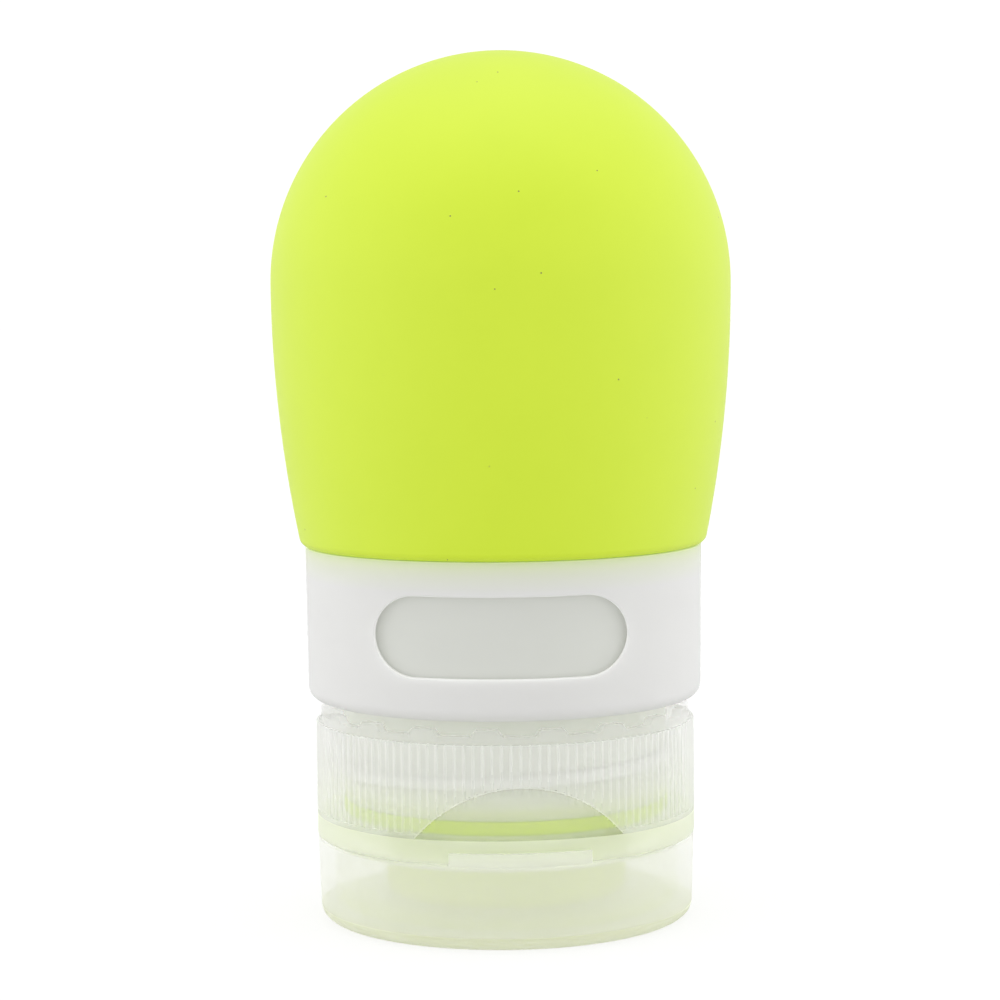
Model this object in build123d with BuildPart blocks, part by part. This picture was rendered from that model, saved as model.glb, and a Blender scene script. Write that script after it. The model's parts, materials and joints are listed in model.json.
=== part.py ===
from build123d import *
import os
from math import degrees, sqrt

# A soft travel bottle that stands upside down on its closed flip lid.
# Lengths in millimetres. The origin is the middle of the lid's flat face, +Z runs up through the
# bottle, the thumb dip faces -Y and the lid's hinge lies at +Y.

# Round sizes, from the bulb inwards to the soft neck
bulb_r = 20.95
bulb_taper = 2.4
foot_overhang = 0.4
collar_wall = 0.8
collar_play = 0.1
dial_wall = 1.7
snug_fit = 0.05
ring_step = 0.7
ring_wall = 1.35
neck_wall = 1.8
lip_reach = 1.5
soft_wall = 2.0

# Heights, from the face that the bottle rests on up to the bulb
lid_h = 7.6
seam_gap = 0.05
cap_h = 11.85
collar_gap = 0.75
collar_h = 14.0
shoulder_gap = 0.12
bulb_side_h = 23.75
soft_floor = 2.1
foot_round = 0.9
inner_round = 3.0
mouth_round = 1.6

# Flip lid
lid_setback = 0.04
lid_draft = 0.24
lid_round = 1.25
lid_wall = 1.5
lid_floor = 1.5
lid_inner_round = 0.9
edge_round = 0.25
plug_r = 4.3
plug_wall = 1.0
plug_h = 1.95
plug_round = 0.35
tab_h = 1.07
tab_w = 12.6
tab_gap = 0.12
tab_setback = 0.06

# Screw cap
deck_t = 2.1
seat_gap = 0.05
cap_wall = 1.33
rim_h = 1.3
rim_wall = 0.87
rim_round = 0.15
rib_count = 130
rib_depth = 0.18
rib_w = 0.3
rib_lead = 2.55
slot_count = 18
slot_depth = 0.62
slot_floor_w = 3.0
slot_top_w = 3.9
thumb_depth = 0.95
thumb_w = 22.2
thumb_h = 7.6
spigot_h = 0.9
spigot_wall = 1.2
spigot_play = 0.15
boss_r = 11.05
boss_wall = 1.75
boss_clearance = 0.95
boss_end_t = 1.55
boss_round = 0.5
outlet_r = 5.0

# Screw thread between the neck ring and the cap
thread_pitch = 3.0
thread_turns = 1.25
thread_depth = 0.85
thread_play = 0.4
thread_root_w = 1.3
thread_crest_w = 0.7
thread_sink = 0.1
thread_lead = 1.25
nut_back_turns = 0.3
nut_turns = 1.1

# Soft mouth lip that seals on the cap's deck
lip_t = 1.25
lip_round = 0.3

# Window collar
collar_draft = 0.13
collar_round = 1.2
collar_lip_t = 0.9
collar_lip_play = 0.5
lip_lift = 0.15
window_w = 22.0
window_h = 7.1
window_lift = 0.37
window_turn = -5.5
snap_h = 0.6
snap_reach = 0.3
snap_drop = 1.5
snap_play = 0.15

# Slit valve and its retaining ring
valve_play = 0.1
valve_rim_t = 1.3
valve_skin_t = 0.9
valve_head_play = 0.35
valve_head_drop = 0.3
slit_l = 3.6
slit_w = 0.15
retainer_play = 0.05
retainer_t = 2.0
retainer_bore_r = 6.4
retainer_round = 0.3
catch_play = 0.1
catch_t = 0.4
catch_reach = 0.3

# Film hinge at the back
hinge_out = 0.55
hinge_w = 12.0
web_r = 0.42
web_flat = 0.2
leaf_h = 1.1
leaf_root = 0.9
leaf_play = 0.03

# Reach past a surface that a cut runs through
overrun = 1.0

# Radii that follow
foot_r = bulb_r - bulb_taper
collar_r = foot_r - foot_overhang
collar_bore_r = collar_r - collar_wall
dial_r = collar_bore_r - collar_play
dial_bore_r = dial_r - dial_wall
ring_r = dial_bore_r - snug_fit
root_r = ring_r - ring_step
ring_bore_r = root_r - ring_wall
neck_r = ring_bore_r - snug_fit
neck_bore_r = neck_r - neck_wall
lip_r = neck_r + lip_reach
crest_r = root_r + thread_depth
cap_bore_r = crest_r + thread_play
cap_r = cap_bore_r + cap_wall
rib_base_r = cap_r - rib_depth
rim_r = cap_bore_r + rim_wall
lid_r = cap_r - lid_setback
lid_bore_r = lid_r - lid_wall
spigot_r = lid_bore_r - spigot_play
pocket_r = boss_r - boss_wall
valve_r = pocket_r - valve_play
collar_lip_r = root_r + collar_lip_play

# Heights that follow
cap_z = lid_h + seam_gap
deck_z = cap_z + deck_t
mouth_z = deck_z + seat_gap
ring_z = mouth_z + lip_t
thread_z = ring_z + thread_lead
cap_top = cap_z + cap_h
step_z = cap_top - rim_h
collar_z = cap_top + collar_gap
collar_lip_top = collar_z + collar_lip_t
dial_z = collar_lip_top + lip_lift
collar_top = collar_z + collar_h
shoulder_z = collar_top + shoulder_gap
bulb_z = shoulder_z + bulb_side_h
floor_z = shoulder_z + soft_floor
snap_z = collar_top - snap_drop
boss_z = lid_floor + boss_clearance
ledge_z = boss_z + boss_end_t
retainer_z = ledge_z + valve_rim_t + retainer_play
catch_z = retainer_z + retainer_t + catch_play

# The bulb's side is one arc from its widest level down to its foot, level with the bulb's middle
side_r = (bulb_taper**2 + bulb_side_h**2) / (2 * bulb_taper)


def side_at(height, wall=0):
    """Radius of the bulb's side at a height, on its skin or a wall's thickness inside it."""
    return bulb_r - side_r + sqrt((side_r - wall) ** 2 - (bulb_z - height) ** 2)


def round_corners(sketch, points, radius):
    """Rounds the corners of the sketch that lie nearest to the given points."""
    corners = [sketch.vertices().sort_by_distance(Vector(*point))[0] for point in points]
    fillet(corners, radius)


def thread_section(base_r, tip_r):
    """Outline of a thread ridge: it widens from its tip to its base, and sinks into its wall."""
    inward = tip_r < base_r
    depth = abs(base_r - tip_r)
    sink = -thread_sink
    outline = [
        (sink, -thread_root_w / 2),
        (depth, -thread_crest_w / 2),
        (depth, thread_crest_w / 2),
        (sink, thread_root_w / 2),
    ]
    return [(-x, y) for x, y in outline] if inward else outline


# Soft bulb, neck and mouth lip
side_mid = (bulb_z + shoulder_z) / 2
floor_side_mid = (bulb_z + floor_z) / 2
with BuildPart() as squeeze_body:
    with BuildSketch(Plane.XZ) as skin:
        with BuildLine():
            RadiusArc((0, bulb_z + bulb_r), (bulb_r, bulb_z), bulb_r)
            ThreePointArc((bulb_r, bulb_z), (side_at(side_mid), side_mid), (foot_r, shoulder_z))
            Polyline(
                (foot_r, shoulder_z),
                (neck_r, shoulder_z),
                (neck_r, ring_z),
                (lip_r, ring_z),
                (lip_r, mouth_z),
                (0, mouth_z),
                (0, bulb_z + bulb_r),
            )
        make_face()
        round_corners(skin, [(foot_r, shoulder_z)], foot_round)
        round_corners(skin, [(lip_r, ring_z), (lip_r, mouth_z)], lip_round)
    revolve(axis=Axis.Z)
    with BuildSketch(Plane.XZ) as hollow:
        with BuildLine():
            inner_r = bulb_r - soft_wall
            floor_r = side_at(floor_z, soft_wall)
            RadiusArc((0, bulb_z + inner_r), (inner_r, bulb_z), inner_r)
            ThreePointArc(
                (inner_r, bulb_z),
                (side_at(floor_side_mid, soft_wall), floor_side_mid),
                (floor_r, floor_z),
            )
            Polyline(
                (floor_r, floor_z),
                (neck_bore_r, floor_z),
                (neck_bore_r, mouth_z - overrun),
                (0, mouth_z - overrun),
                (0, bulb_z + inner_r),
            )
        make_face()
        round_corners(hollow, [(floor_r, floor_z)], inner_round)
        round_corners(hollow, [(neck_bore_r, floor_z)], mouth_round)
    revolve(axis=Axis.Z, mode=Mode.SUBTRACT)
squeeze_body.part.label = "squeeze_body"

# Hard ring round the soft neck, with the outer thread
with BuildPart() as neck_ring:
    with BuildSketch(Plane.XZ):
        with BuildLine():
            Polyline(
                (ring_bore_r, ring_z),
                (root_r, ring_z),
                (root_r, dial_z),
                (ring_r, dial_z),
                (ring_r, shoulder_z),
                (ring_bore_r, shoulder_z),
                close=True,
            )
        make_face()
    revolve(axis=Axis.Z)
    with BuildLine(mode=Mode.PRIVATE):
        ridge_path = Helix(
            pitch=thread_pitch,
            height=thread_pitch * thread_turns,
            radius=root_r,
            center=(0, 0, thread_z),
        )
    with BuildSketch(Plane(origin=ridge_path @ 0, x_dir=(1, 0, 0), z_dir=ridge_path % 0)):
        with BuildLine():
            Polyline(*thread_section(root_r, crest_r), close=True)
        make_face()
    sweep(path=ridge_path, is_frenet=True)
neck_ring.part.label = "neck_ring"

# Sleeve that the collar turns on, with the bead that the collar snaps over
with BuildPart() as content_dial:
    with BuildSketch(Plane.XZ):
        with BuildLine():
            Polyline(
                (dial_bore_r, dial_z),
                (dial_r, dial_z),
                (dial_r, snap_z),
                (dial_r + snap_reach, snap_z + snap_reach / 2),
                (dial_r + snap_reach, snap_z + snap_h - snap_reach / 2),
                (dial_r, snap_z + snap_h),
                (dial_r, collar_top),
                (dial_bore_r, collar_top),
                close=True,
            )
        make_face()
    revolve(axis=Axis.Z)
content_dial.part.label = "content_dial"

# White collar with its window, snap groove and inward lip
window_z = collar_z + collar_h / 2 + window_lift
groove_r = collar_bore_r + snap_reach
with BuildPart() as window_collar:
    with BuildSketch(Plane.XZ) as ring_section:
        with BuildLine():
            Polyline(
                (collar_lip_r, collar_z),
                (collar_r - collar_draft, collar_z),
                (collar_r, collar_top),
                (collar_bore_r, collar_top),
                (collar_bore_r, snap_z + snap_h + snap_play),
                (groove_r, snap_z + snap_h),
                (groove_r, snap_z),
                (collar_bore_r, snap_z - snap_play),
                (collar_bore_r, collar_lip_top),
                (collar_lip_r, collar_lip_top),
                close=True,
            )
        make_face()
        round_corners(ring_section, [(collar_r - collar_draft, collar_z)], collar_round)
        round_corners(ring_section, [(collar_r, collar_top)], edge_round)
    revolve(axis=Axis.Z)
    with BuildSketch(Plane.XZ.rotated((0, 0, window_turn))):
        with Locations((0, window_z)):
            SlotOverall(window_w, window_h)
    extrude(amount=collar_r + overrun, mode=Mode.SUBTRACT)
window_collar.part.label = "window_collar"

# A wide, slightly leaning drum whose front shapes the thumb dip and the back of the lid's tab
thumb_half = thumb_w / 2
dip_front = cap_r - thumb_depth
dip_sag = dip_front - sqrt(cap_r**2 - thumb_half**2)
dip_r = (thumb_half**2 + dip_sag**2) / (2 * dip_sag)
lean = (0, -thumb_depth, thumb_h)


def dip_plane(gap=0):
    """Plane across the leaning drum at the cap's lower edge, moved out by a gap."""
    return Plane(origin=(0, dip_r - dip_front - gap, cap_z), x_dir=(1, 0, 0), z_dir=lean)


with BuildPart() as thumb_cut:
    with BuildSketch(Plane.XY.offset(cap_z - overrun)):
        with Locations((0, -cap_r)):
            Rectangle(thumb_w + 2 * overrun, cap_r)
    extrude(amount=thumb_h + 2 * overrun)
    with BuildSketch(dip_plane()):
        Circle(dip_r)
    extrude(amount=2 * thumb_h, both=True, mode=Mode.SUBTRACT)

# Ribbed cap: skirt and rim, deck, spigot, valve boss, inner thread and hinge leaf
slot_bottom = cap_top - slot_depth
slot_flare = (slot_top_w - slot_floor_w) / 2 * (slot_depth + overrun) / slot_depth
slot_planes = [Plane.XZ.rotated((0, 0, turn * 360 / slot_count)) for turn in range(slot_count)]
hinge_y = cap_r + hinge_out
hinge_z = cap_z - seam_gap / 2
rib_z = cap_z + rib_lead
catch_r = valve_r - catch_reach
nut_start = 360 * nut_back_turns
nut_z = thread_z + thread_pitch / 2 - thread_pitch * nut_back_turns
with BuildPart() as screw_cap:
    with BuildSketch(Plane.XZ) as outside:
        with BuildLine():
            Polyline(
                (0, boss_z),
                (boss_r, boss_z),
                (boss_r, cap_z),
                (spigot_r - spigot_wall, cap_z),
                (spigot_r - spigot_wall, cap_z - spigot_h),
                (spigot_r, cap_z - spigot_h),
                (spigot_r, cap_z),
                (cap_r, cap_z),
                (cap_r, rib_z),
                (rib_base_r, rib_z),
                (rib_base_r, step_z),
                (rim_r, step_z),
                (rim_r, cap_top),
                (0, cap_top),
                close=True,
            )
        make_face()
        round_corners(outside, [(cap_r, cap_z)], edge_round)
        round_corners(outside, [(rim_r, cap_top)], rim_round)
        round_corners(outside, [(boss_r, boss_z)], boss_round)
    revolve(axis=Axis.Z)
    with BuildSketch(Plane.XY.offset(rib_z)):
        with PolarLocations(rib_base_r, rib_count):
            Rectangle(2 * rib_depth, rib_w)
    extrude(amount=step_z - rib_z)
    add(thumb_cut.part, mode=Mode.SUBTRACT)
    with BuildSketch(Plane.YZ):
        with Locations((hinge_y, hinge_z + web_flat)):
            Rectangle(hinge_out + leaf_root, leaf_h, align=(Align.MAX, Align.MIN))
    extrude(amount=hinge_w / 2, both=True)
    with BuildSketch(Plane.XZ):
        with BuildLine():
            Polyline(
                (0, boss_z - overrun),
                (outlet_r, boss_z - overrun),
                (outlet_r, ledge_z),
                (pocket_r, ledge_z),
                (pocket_r, catch_z),
                (catch_r, catch_z),
                (catch_r, catch_z + catch_t),
                (pocket_r, catch_z + catch_t),
                (pocket_r, deck_z),
                (cap_bore_r, deck_z),
                (cap_bore_r, cap_top + overrun),
                (0, cap_top + overrun),
                close=True,
            )
        make_face()
    revolve(axis=Axis.Z, mode=Mode.SUBTRACT)
    with BuildSketch(*slot_planes):
        with BuildLine():
            Polyline(
                (-slot_floor_w / 2, slot_bottom),
                (slot_floor_w / 2, slot_bottom),
                (slot_floor_w / 2 + slot_flare, cap_top + overrun),
                (-slot_floor_w / 2 - slot_flare, cap_top + overrun),
                close=True,
            )
        make_face()
    extrude(amount=cap_r + overrun, mode=Mode.SUBTRACT)
    with BuildLine(mode=Mode.PRIVATE):
        nut_path = Helix(
            pitch=thread_pitch,
            height=thread_pitch * nut_turns,
            radius=cap_bore_r,
            center=(0, 0, nut_z),
        ).rotate(Axis.Z, -nut_start)
    nut_plane = Plane(
        origin=nut_path @ 0,
        x_dir=Vector(1, 0, 0).rotate(Axis.Z, -nut_start),
        z_dir=nut_path % 0,
    )
    with BuildSketch(nut_plane):
        with BuildLine():
            Polyline(*thread_section(cap_bore_r, cap_bore_r - thread_depth), close=True)
        make_face()
    sweep(path=nut_path, is_frenet=True)
screw_cap.part.label = "screw_cap"

# Soft valve: a rim in the boss, and a dished head that hangs in the outlet with a cross slit
head_r = outlet_r - valve_head_play
head_z = ledge_z - valve_head_drop
dish_depth = valve_head_drop + valve_rim_t - valve_skin_t
with BuildPart() as slit_valve:
    with BuildSketch(Plane.XZ):
        with BuildLine():
            Polyline(
                (0, head_z),
                (head_r, head_z),
                (head_r, ledge_z),
                (valve_r, ledge_z),
                (valve_r, ledge_z + valve_rim_t),
                (head_r, ledge_z + valve_rim_t),
            )
            RadiusArc(
                (head_r, ledge_z + valve_rim_t),
                (0, head_z + valve_skin_t),
                (head_r**2 + dish_depth**2) / (2 * dish_depth),
            )
            Line((0, head_z + valve_skin_t), (0, head_z))
        make_face()
    revolve(axis=Axis.Z)
    with BuildSketch(Plane.XY.offset(head_z - overrun)):
        Rectangle(slit_l, slit_w)
        Rectangle(slit_w, slit_l)
    extrude(amount=valve_rim_t + 2 * overrun, mode=Mode.SUBTRACT)
slit_valve.part.label = "slit_valve"

# Ring that holds the valve in the boss, under the cap's catch
with BuildPart() as valve_retainer:
    with BuildSketch(Plane.XY.offset(retainer_z)):
        Circle(valve_r)
        Circle(retainer_bore_r, mode=Mode.SUBTRACT)
    extrude(amount=retainer_t)
    ring_edges = valve_retainer.edges().filter_by(GeomType.CIRCLE)
    chamfer(ring_edges.group_by(SortBy.RADIUS)[-1], retainer_round / 2)
    fillet(ring_edges.group_by(SortBy.RADIUS)[0], retainer_round)
valve_retainer.part.label = "valve_retainer"

# Film between the cap and the lid, held as a slim bar on the bend line
with BuildPart() as hinge_web:
    with BuildSketch(Plane.YZ):
        with Locations((hinge_y, hinge_z)):
            Circle(web_r)
        with Locations((hinge_y, hinge_z + web_flat)):
            Rectangle(2 * web_r, web_r, align=(Align.CENTER, Align.MIN), mode=Mode.SUBTRACT)
    extrude(amount=hinge_w / 2, both=True)
hinge_web.part.label = "hinge_web"

# Thumb lip on the lid's rim, behind which the cap's dip leaves a gap
with BuildPart() as lid_tab:
    with BuildSketch(Plane.XY.offset(lid_h - edge_round)):
        Circle(lid_r - tab_setback)
        with Locations((0, -lid_r)):
            Rectangle(tab_w, 2 * dip_sag, mode=Mode.INTERSECT)
    extrude(amount=tab_h + edge_round)
    with BuildSketch(dip_plane(tab_gap)):
        Circle(dip_r)
    extrude(amount=thumb_h, both=True, mode=Mode.SUBTRACT)

# Round lid with its plug ring, thumb lip and hinge leaf
leaf_top = hinge_z - seam_gap / 2
with BuildPart() as flip_lid:
    with BuildSketch(Plane.XZ) as bowl:
        with BuildLine():
            Polyline(
                (0, 0),
                (lid_r - lid_draft, 0),
                (lid_r, lid_h),
                (lid_bore_r, lid_h),
                (lid_bore_r, lid_floor),
                (plug_r, lid_floor),
                (plug_r, lid_floor + plug_h),
                (plug_r - plug_wall, lid_floor + plug_h),
                (plug_r - plug_wall, lid_floor),
                (0, lid_floor),
                close=True,
            )
        make_face()
        round_corners(bowl, [(lid_r - lid_draft, 0)], lid_round)
        round_corners(bowl, [(lid_r, lid_h)], edge_round)
        round_corners(bowl, [(lid_bore_r, lid_floor)], lid_inner_round)
        round_corners(bowl, [(plug_r, lid_floor + plug_h)], plug_round)
    revolve(axis=Axis.Z)
    add(lid_tab.part)
    with BuildSketch(Plane.YZ):
        with Locations((hinge_y, leaf_top)):
            Rectangle(hinge_out + leaf_root, leaf_h, align=(Align.MAX, Align.MAX))
    extrude(amount=hinge_w / 2, both=True)
    with BuildSketch(Plane.YZ):
        with Locations((hinge_y, hinge_z)):
            Circle(web_r + leaf_play)
    extrude(amount=hinge_w, both=True, mode=Mode.SUBTRACT)
flip_lid.part.label = "flip_lid"

pieces = [
    squeeze_body,
    neck_ring,
    content_dial,
    window_collar,
    screw_cap,
    slit_valve,
    valve_retainer,
    hinge_web,
    flip_lid,
]
os.makedirs("parts", exist_ok=True)
for piece in pieces:
    export_step(piece.part, f"parts/{piece.part.label}.step")

print("hinge line y, z:", round(hinge_y, 3), round(hinge_z, 3))
print("unscrewing rises, per radian:", round(thread_pitch / 360 * degrees(1), 6))
print("height:", round(bulb_z + bulb_r, 3))
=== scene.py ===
import json
import logging
import math
from dataclasses import dataclass, replace
from enum import Enum
from typing import Any

import bmesh
import bpy
import numpy as np
from mathutils import Matrix, Vector


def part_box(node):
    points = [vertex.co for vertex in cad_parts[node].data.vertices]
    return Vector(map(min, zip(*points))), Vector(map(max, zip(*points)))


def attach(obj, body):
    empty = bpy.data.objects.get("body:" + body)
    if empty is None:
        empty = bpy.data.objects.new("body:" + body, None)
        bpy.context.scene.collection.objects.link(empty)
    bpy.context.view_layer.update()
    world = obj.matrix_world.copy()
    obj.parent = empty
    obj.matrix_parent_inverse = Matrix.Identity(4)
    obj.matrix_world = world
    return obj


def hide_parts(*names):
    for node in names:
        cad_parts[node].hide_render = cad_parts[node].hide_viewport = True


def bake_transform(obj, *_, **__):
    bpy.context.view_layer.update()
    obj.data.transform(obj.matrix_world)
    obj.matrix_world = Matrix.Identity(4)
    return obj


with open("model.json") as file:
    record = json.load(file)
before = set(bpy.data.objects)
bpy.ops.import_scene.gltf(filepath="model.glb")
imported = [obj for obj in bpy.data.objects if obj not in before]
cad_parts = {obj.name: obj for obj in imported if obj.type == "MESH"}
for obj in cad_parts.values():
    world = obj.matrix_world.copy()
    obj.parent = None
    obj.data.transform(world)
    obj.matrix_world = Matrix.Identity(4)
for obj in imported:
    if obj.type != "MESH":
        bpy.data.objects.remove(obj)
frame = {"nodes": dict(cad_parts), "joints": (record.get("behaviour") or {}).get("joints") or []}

log = logging.getLogger("travel_bottle")

MM = 0.001
TURN = 2 * math.pi
FRONT = -TURN / 4
TINY = 1e-7
FAR = 1.0
MERGE = 0.001 * MM
SLIVER = 0.0005 * MM
NEAR = 0.01 * MM
HOLE_SIDES = 6
WHITE = (1.0, 1.0, 1.0)
Point = tuple[float, float]
Spot = tuple[float, float, float]
Colour = tuple[float, float, float]
Material = bpy.types.Material
Mesh = bpy.types.Mesh
Piece = bpy.types.Object
Socket = bpy.types.NodeSocket
Tree = bpy.types.NodeTree


class Slot(Enum):
    """Material slots of the record."""

    SOFT = "soft_green"
    WHITE = "white_plastic"
    DIAL = "dial_plastic"
    FROSTED = "frosted_plastic"


# Node helpers


def feed(tree: Tree, node: bpy.types.Node, inputs: dict[str | int, Any]) -> None:
    """Feeds inputs of a node.

    Args:
        tree: The node's tree.
        node: The node.
        inputs: A socket, a term, a colour or a plain value for each input, by its name or number.
    """
    for name, value in inputs.items():
        socket, value = node.inputs[name], getattr(value, "socket", value)
        if isinstance(value, Socket):
            tree.links.new(value, socket)
        else:
            socket.default_value = (*value, 1.0) if socket.type == "RGBA" else value


def add_node(tree: Tree, kind: str, inputs: dict[str | int, Any] | None = None, **settings: Any) -> Any:
    """Adds a node.

    Args:
        tree: The tree that gets it.
        kind: Its type name.
        inputs: What feeds its inputs.
        **settings: Its options, by name.

    Returns:
        Its outputs.
    """
    node = tree.nodes.new(kind)
    for name, value in settings.items():
        setattr(node, name, value)
    feed(tree, node, inputs or {})
    return node.outputs


@dataclass(frozen=True)
class Term:
    """A number in a node tree. Arithmetic on it adds Math nodes to that tree."""

    tree: Tree
    socket: Socket

    def math(self, operation: str, *others: Any) -> "Term":
        """Adds one Math node with this term and the others, and gives its result."""
        inputs = dict(enumerate([self, *others]))
        return Term(self.tree, add_node(self.tree, "ShaderNodeMath", inputs, operation=operation)[0])

    def __add__(self, other: Any) -> "Term":
        """Sum."""
        return self.math("ADD", other)

    def __sub__(self, other: Any) -> "Term":
        """Difference."""
        return self.math("SUBTRACT", other)

    def __mul__(self, other: Any) -> "Term":
        """Product."""
        return self.math("MULTIPLY", other)

    def __truediv__(self, other: Any) -> "Term":
        """Quotient."""
        return self.math("DIVIDE", other)

    def __neg__(self) -> "Term":
        """The term with its sign turned."""
        return self.math("MULTIPLY", -1.0)

    def clamp(self) -> "Term":
        """The term, held between 0 and 1."""
        return self.math("MAXIMUM", 0.0).math("MINIMUM", 1.0)

    def blend(self, low: Any, high: Any) -> "Term":
        """The value between low and high at this share."""
        return self.clamp() * -(low - high) + low


class Recipe:
    """A Geometry Nodes tree with named sizes, run once on a mesh and made plain."""

    def __init__(self, name: str) -> None:
        """Starts a tree with a mesh coming in and a mesh going out.

        Args:
            name: The tree's name, which its result takes too.
        """
        self.tree = bpy.data.node_groups.new(name, "GeometryNodeTree")
        for way in ("INPUT", "OUTPUT"):
            self.tree.interface.new_socket("Geometry", in_out=way, socket_type="NodeSocketGeometry")
        self.entry = self.tree.nodes.new("NodeGroupInput")
        self.exit = self.tree.nodes.new("NodeGroupOutput")
        self.values: dict[str, float] = {}

    @property
    def geometry(self) -> Socket:
        """The mesh that comes in."""
        return self.entry.outputs[0]

    def size(self, name: str, value: float) -> Term:
        """Adds a named size.

        Args:
            name: The name that the size has on the tree.
            value: Its value, which is set when the tree runs.

        Returns:
            The size, as a term.
        """
        kind = "NodeSocketInt" if isinstance(value, int) else "NodeSocketFloat"
        item = self.tree.interface.new_socket(name, in_out="INPUT", socket_type=kind)
        self.values[item.identifier] = value
        return Term(self.tree, next(s for s in self.entry.outputs if s.identifier == item.identifier))

    def node(self, kind: str, inputs: dict[str | int, Any] | None = None, **settings: Any) -> Any:
        """Adds a node to the tree and gives its outputs."""
        return add_node(self.tree, kind, inputs, **settings)

    def place(self) -> list[Term]:
        """The three coordinates of each point, as terms."""
        spot = self.node("GeometryNodeInputPosition")[0]
        return [Term(self.tree, s) for s in self.node("ShaderNodeSeparateXYZ", {0: spot})]

    def attribute(self, name: str) -> Term:
        """A number stored on the mesh's points."""
        outputs = self.node("GeometryNodeInputNamedAttribute", {"Name": name}, data_type="FLOAT")
        return Term(self.tree, outputs["Attribute"])

    def grid(self, columns: Any, rows: Any) -> tuple[Socket, Term, Term]:
        """Adds a flat grid.

        Args:
            columns: The number of its points one way.
            rows: The number the other way.

        Returns:
            The grid, and each point's share of the way along it and across it.
        """
        inputs = {"Size X": 1.0, "Size Y": 1.0, "Vertices X": columns, "Vertices Y": rows}
        x, y, _ = self.place()
        return self.node("GeometryNodeMeshGrid", inputs)[0], x + 0.5, y + 0.5

    def move(self, mesh: Socket, x: Term, y: Term, z: Term) -> Socket:
        """Moves every point of the mesh to the given place."""
        spot = self.node("ShaderNodeCombineXYZ", {0: x, 1: y, 2: z})[0]
        return self.node("GeometryNodeSetPosition", {"Geometry": mesh, "Position": spot})[0]

    def finish(self, mesh: Socket, material: Material, *others: tuple[Term, Material]) -> None:
        """Ends the tree with real geometry in its materials.

        Args:
            mesh: The mesh.
            material: Its material.
            *others: Numbers and materials. Each material goes where its number is over 0.
        """
        mesh = self.node("GeometryNodeRealizeInstances", {0: mesh})[0]
        mesh = self.node("GeometryNodeSetMaterial", {"Geometry": mesh, "Material": material})[0]
        for share, other in others:
            chosen = self.node("FunctionNodeCompare", {0: share, 1: 0.0}, operation="GREATER_THAN")[0]
            inputs = {"Geometry": mesh, "Selection": chosen, "Material": other}
            mesh = self.node("GeometryNodeSetMaterial", inputs)[0]
        self.tree.links.new(mesh, self.exit.inputs[0])

    def run(self, start: Mesh | None = None) -> Mesh:
        """Runs the tree and makes its result plain.

        Args:
            start: The mesh that goes in, or None for an empty one.

        Returns:
            A plain mesh.
        """
        name = self.tree.name
        carrier = bpy.data.objects.new(name, start or bpy.data.meshes.new(name))
        bpy.context.scene.collection.objects.link(carrier)
        modifier = carrier.modifiers.new(name, "NODES")
        modifier.node_group = self.tree
        for identifier, value in self.values.items():
            modifier[identifier] = value
        depsgraph = bpy.context.evaluated_depsgraph_get()
        plain = bpy.data.meshes.new_from_object(carrier.evaluated_get(depsgraph), depsgraph=depsgraph)
        carrier.modifiers.remove(modifier)
        bpy.data.objects.remove(carrier)
        return plain


# Mesh helpers


def around(r: float, turn: float, z: float) -> Spot:
    """A place by its distance from the axis, its angle from +X and its height."""
    return r * math.cos(turn), r * math.sin(turn), z


@dataclass(frozen=True)
class Corner:
    """A corner of a turned outline, with the radius that rounds it."""

    r: float
    z: float
    round: float = 0.0


def rounded(corners: list[Corner], steps: int, closed: bool = False) -> list[Point]:
    """Draws a turned outline with its corners rounded.

    Args:
        corners: The corners, in order.
        steps: The number of spans on each rounding.
        closed: Whether the last corner joins the first.

    Returns:
        The outline's points, as radius and height.
    """
    points: list[Point] = []
    for index, corner in enumerate(corners):
        here = Vector((corner.r, corner.z))
        if corner.round <= 0 or (not closed and index in (0, len(corners) - 1)):
            points.append((corner.r, corner.z))
            continue
        before, after = corners[index - 1], corners[(index + 1) % len(corners)]
        back = (Vector((before.r, before.z)) - here).normalized()
        ahead = (Vector((after.r, after.z)) - here).normalized()
        half = back.angle(ahead) / 2
        reach = corner.round / math.tan(half)
        centre = here + (back + ahead).normalized() * (corner.round / math.sin(half))
        start, end = here + back * reach - centre, here + ahead * reach - centre
        sweep = start.angle_signed(end)
        for step in range(steps + 1):
            points.append(tuple(centre + Matrix.Rotation(-sweep * step / steps, 2) @ start))
    return points


def spaced(points: list[Point], longest: float, closed: bool = False) -> list[Point]:
    """Adds points on an outline's long spans.

    Args:
        points: The outline.
        longest: The length that no span may pass.
        closed: Whether the last point joins the first.

    Returns:
        The outline with its new points.
    """
    result: list[Point] = []
    for a, b in zip(points, points[1:] + (points[:1] if closed else [])):
        count = max(1, math.ceil(math.dist(a, b) / longest))
        wide, high = b[0] - a[0], b[1] - a[1]
        result += [(a[0] + wide * k / count, a[1] + high * k / count) for k in range(count)]
    return result if closed else [*result, points[-1]]


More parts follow.
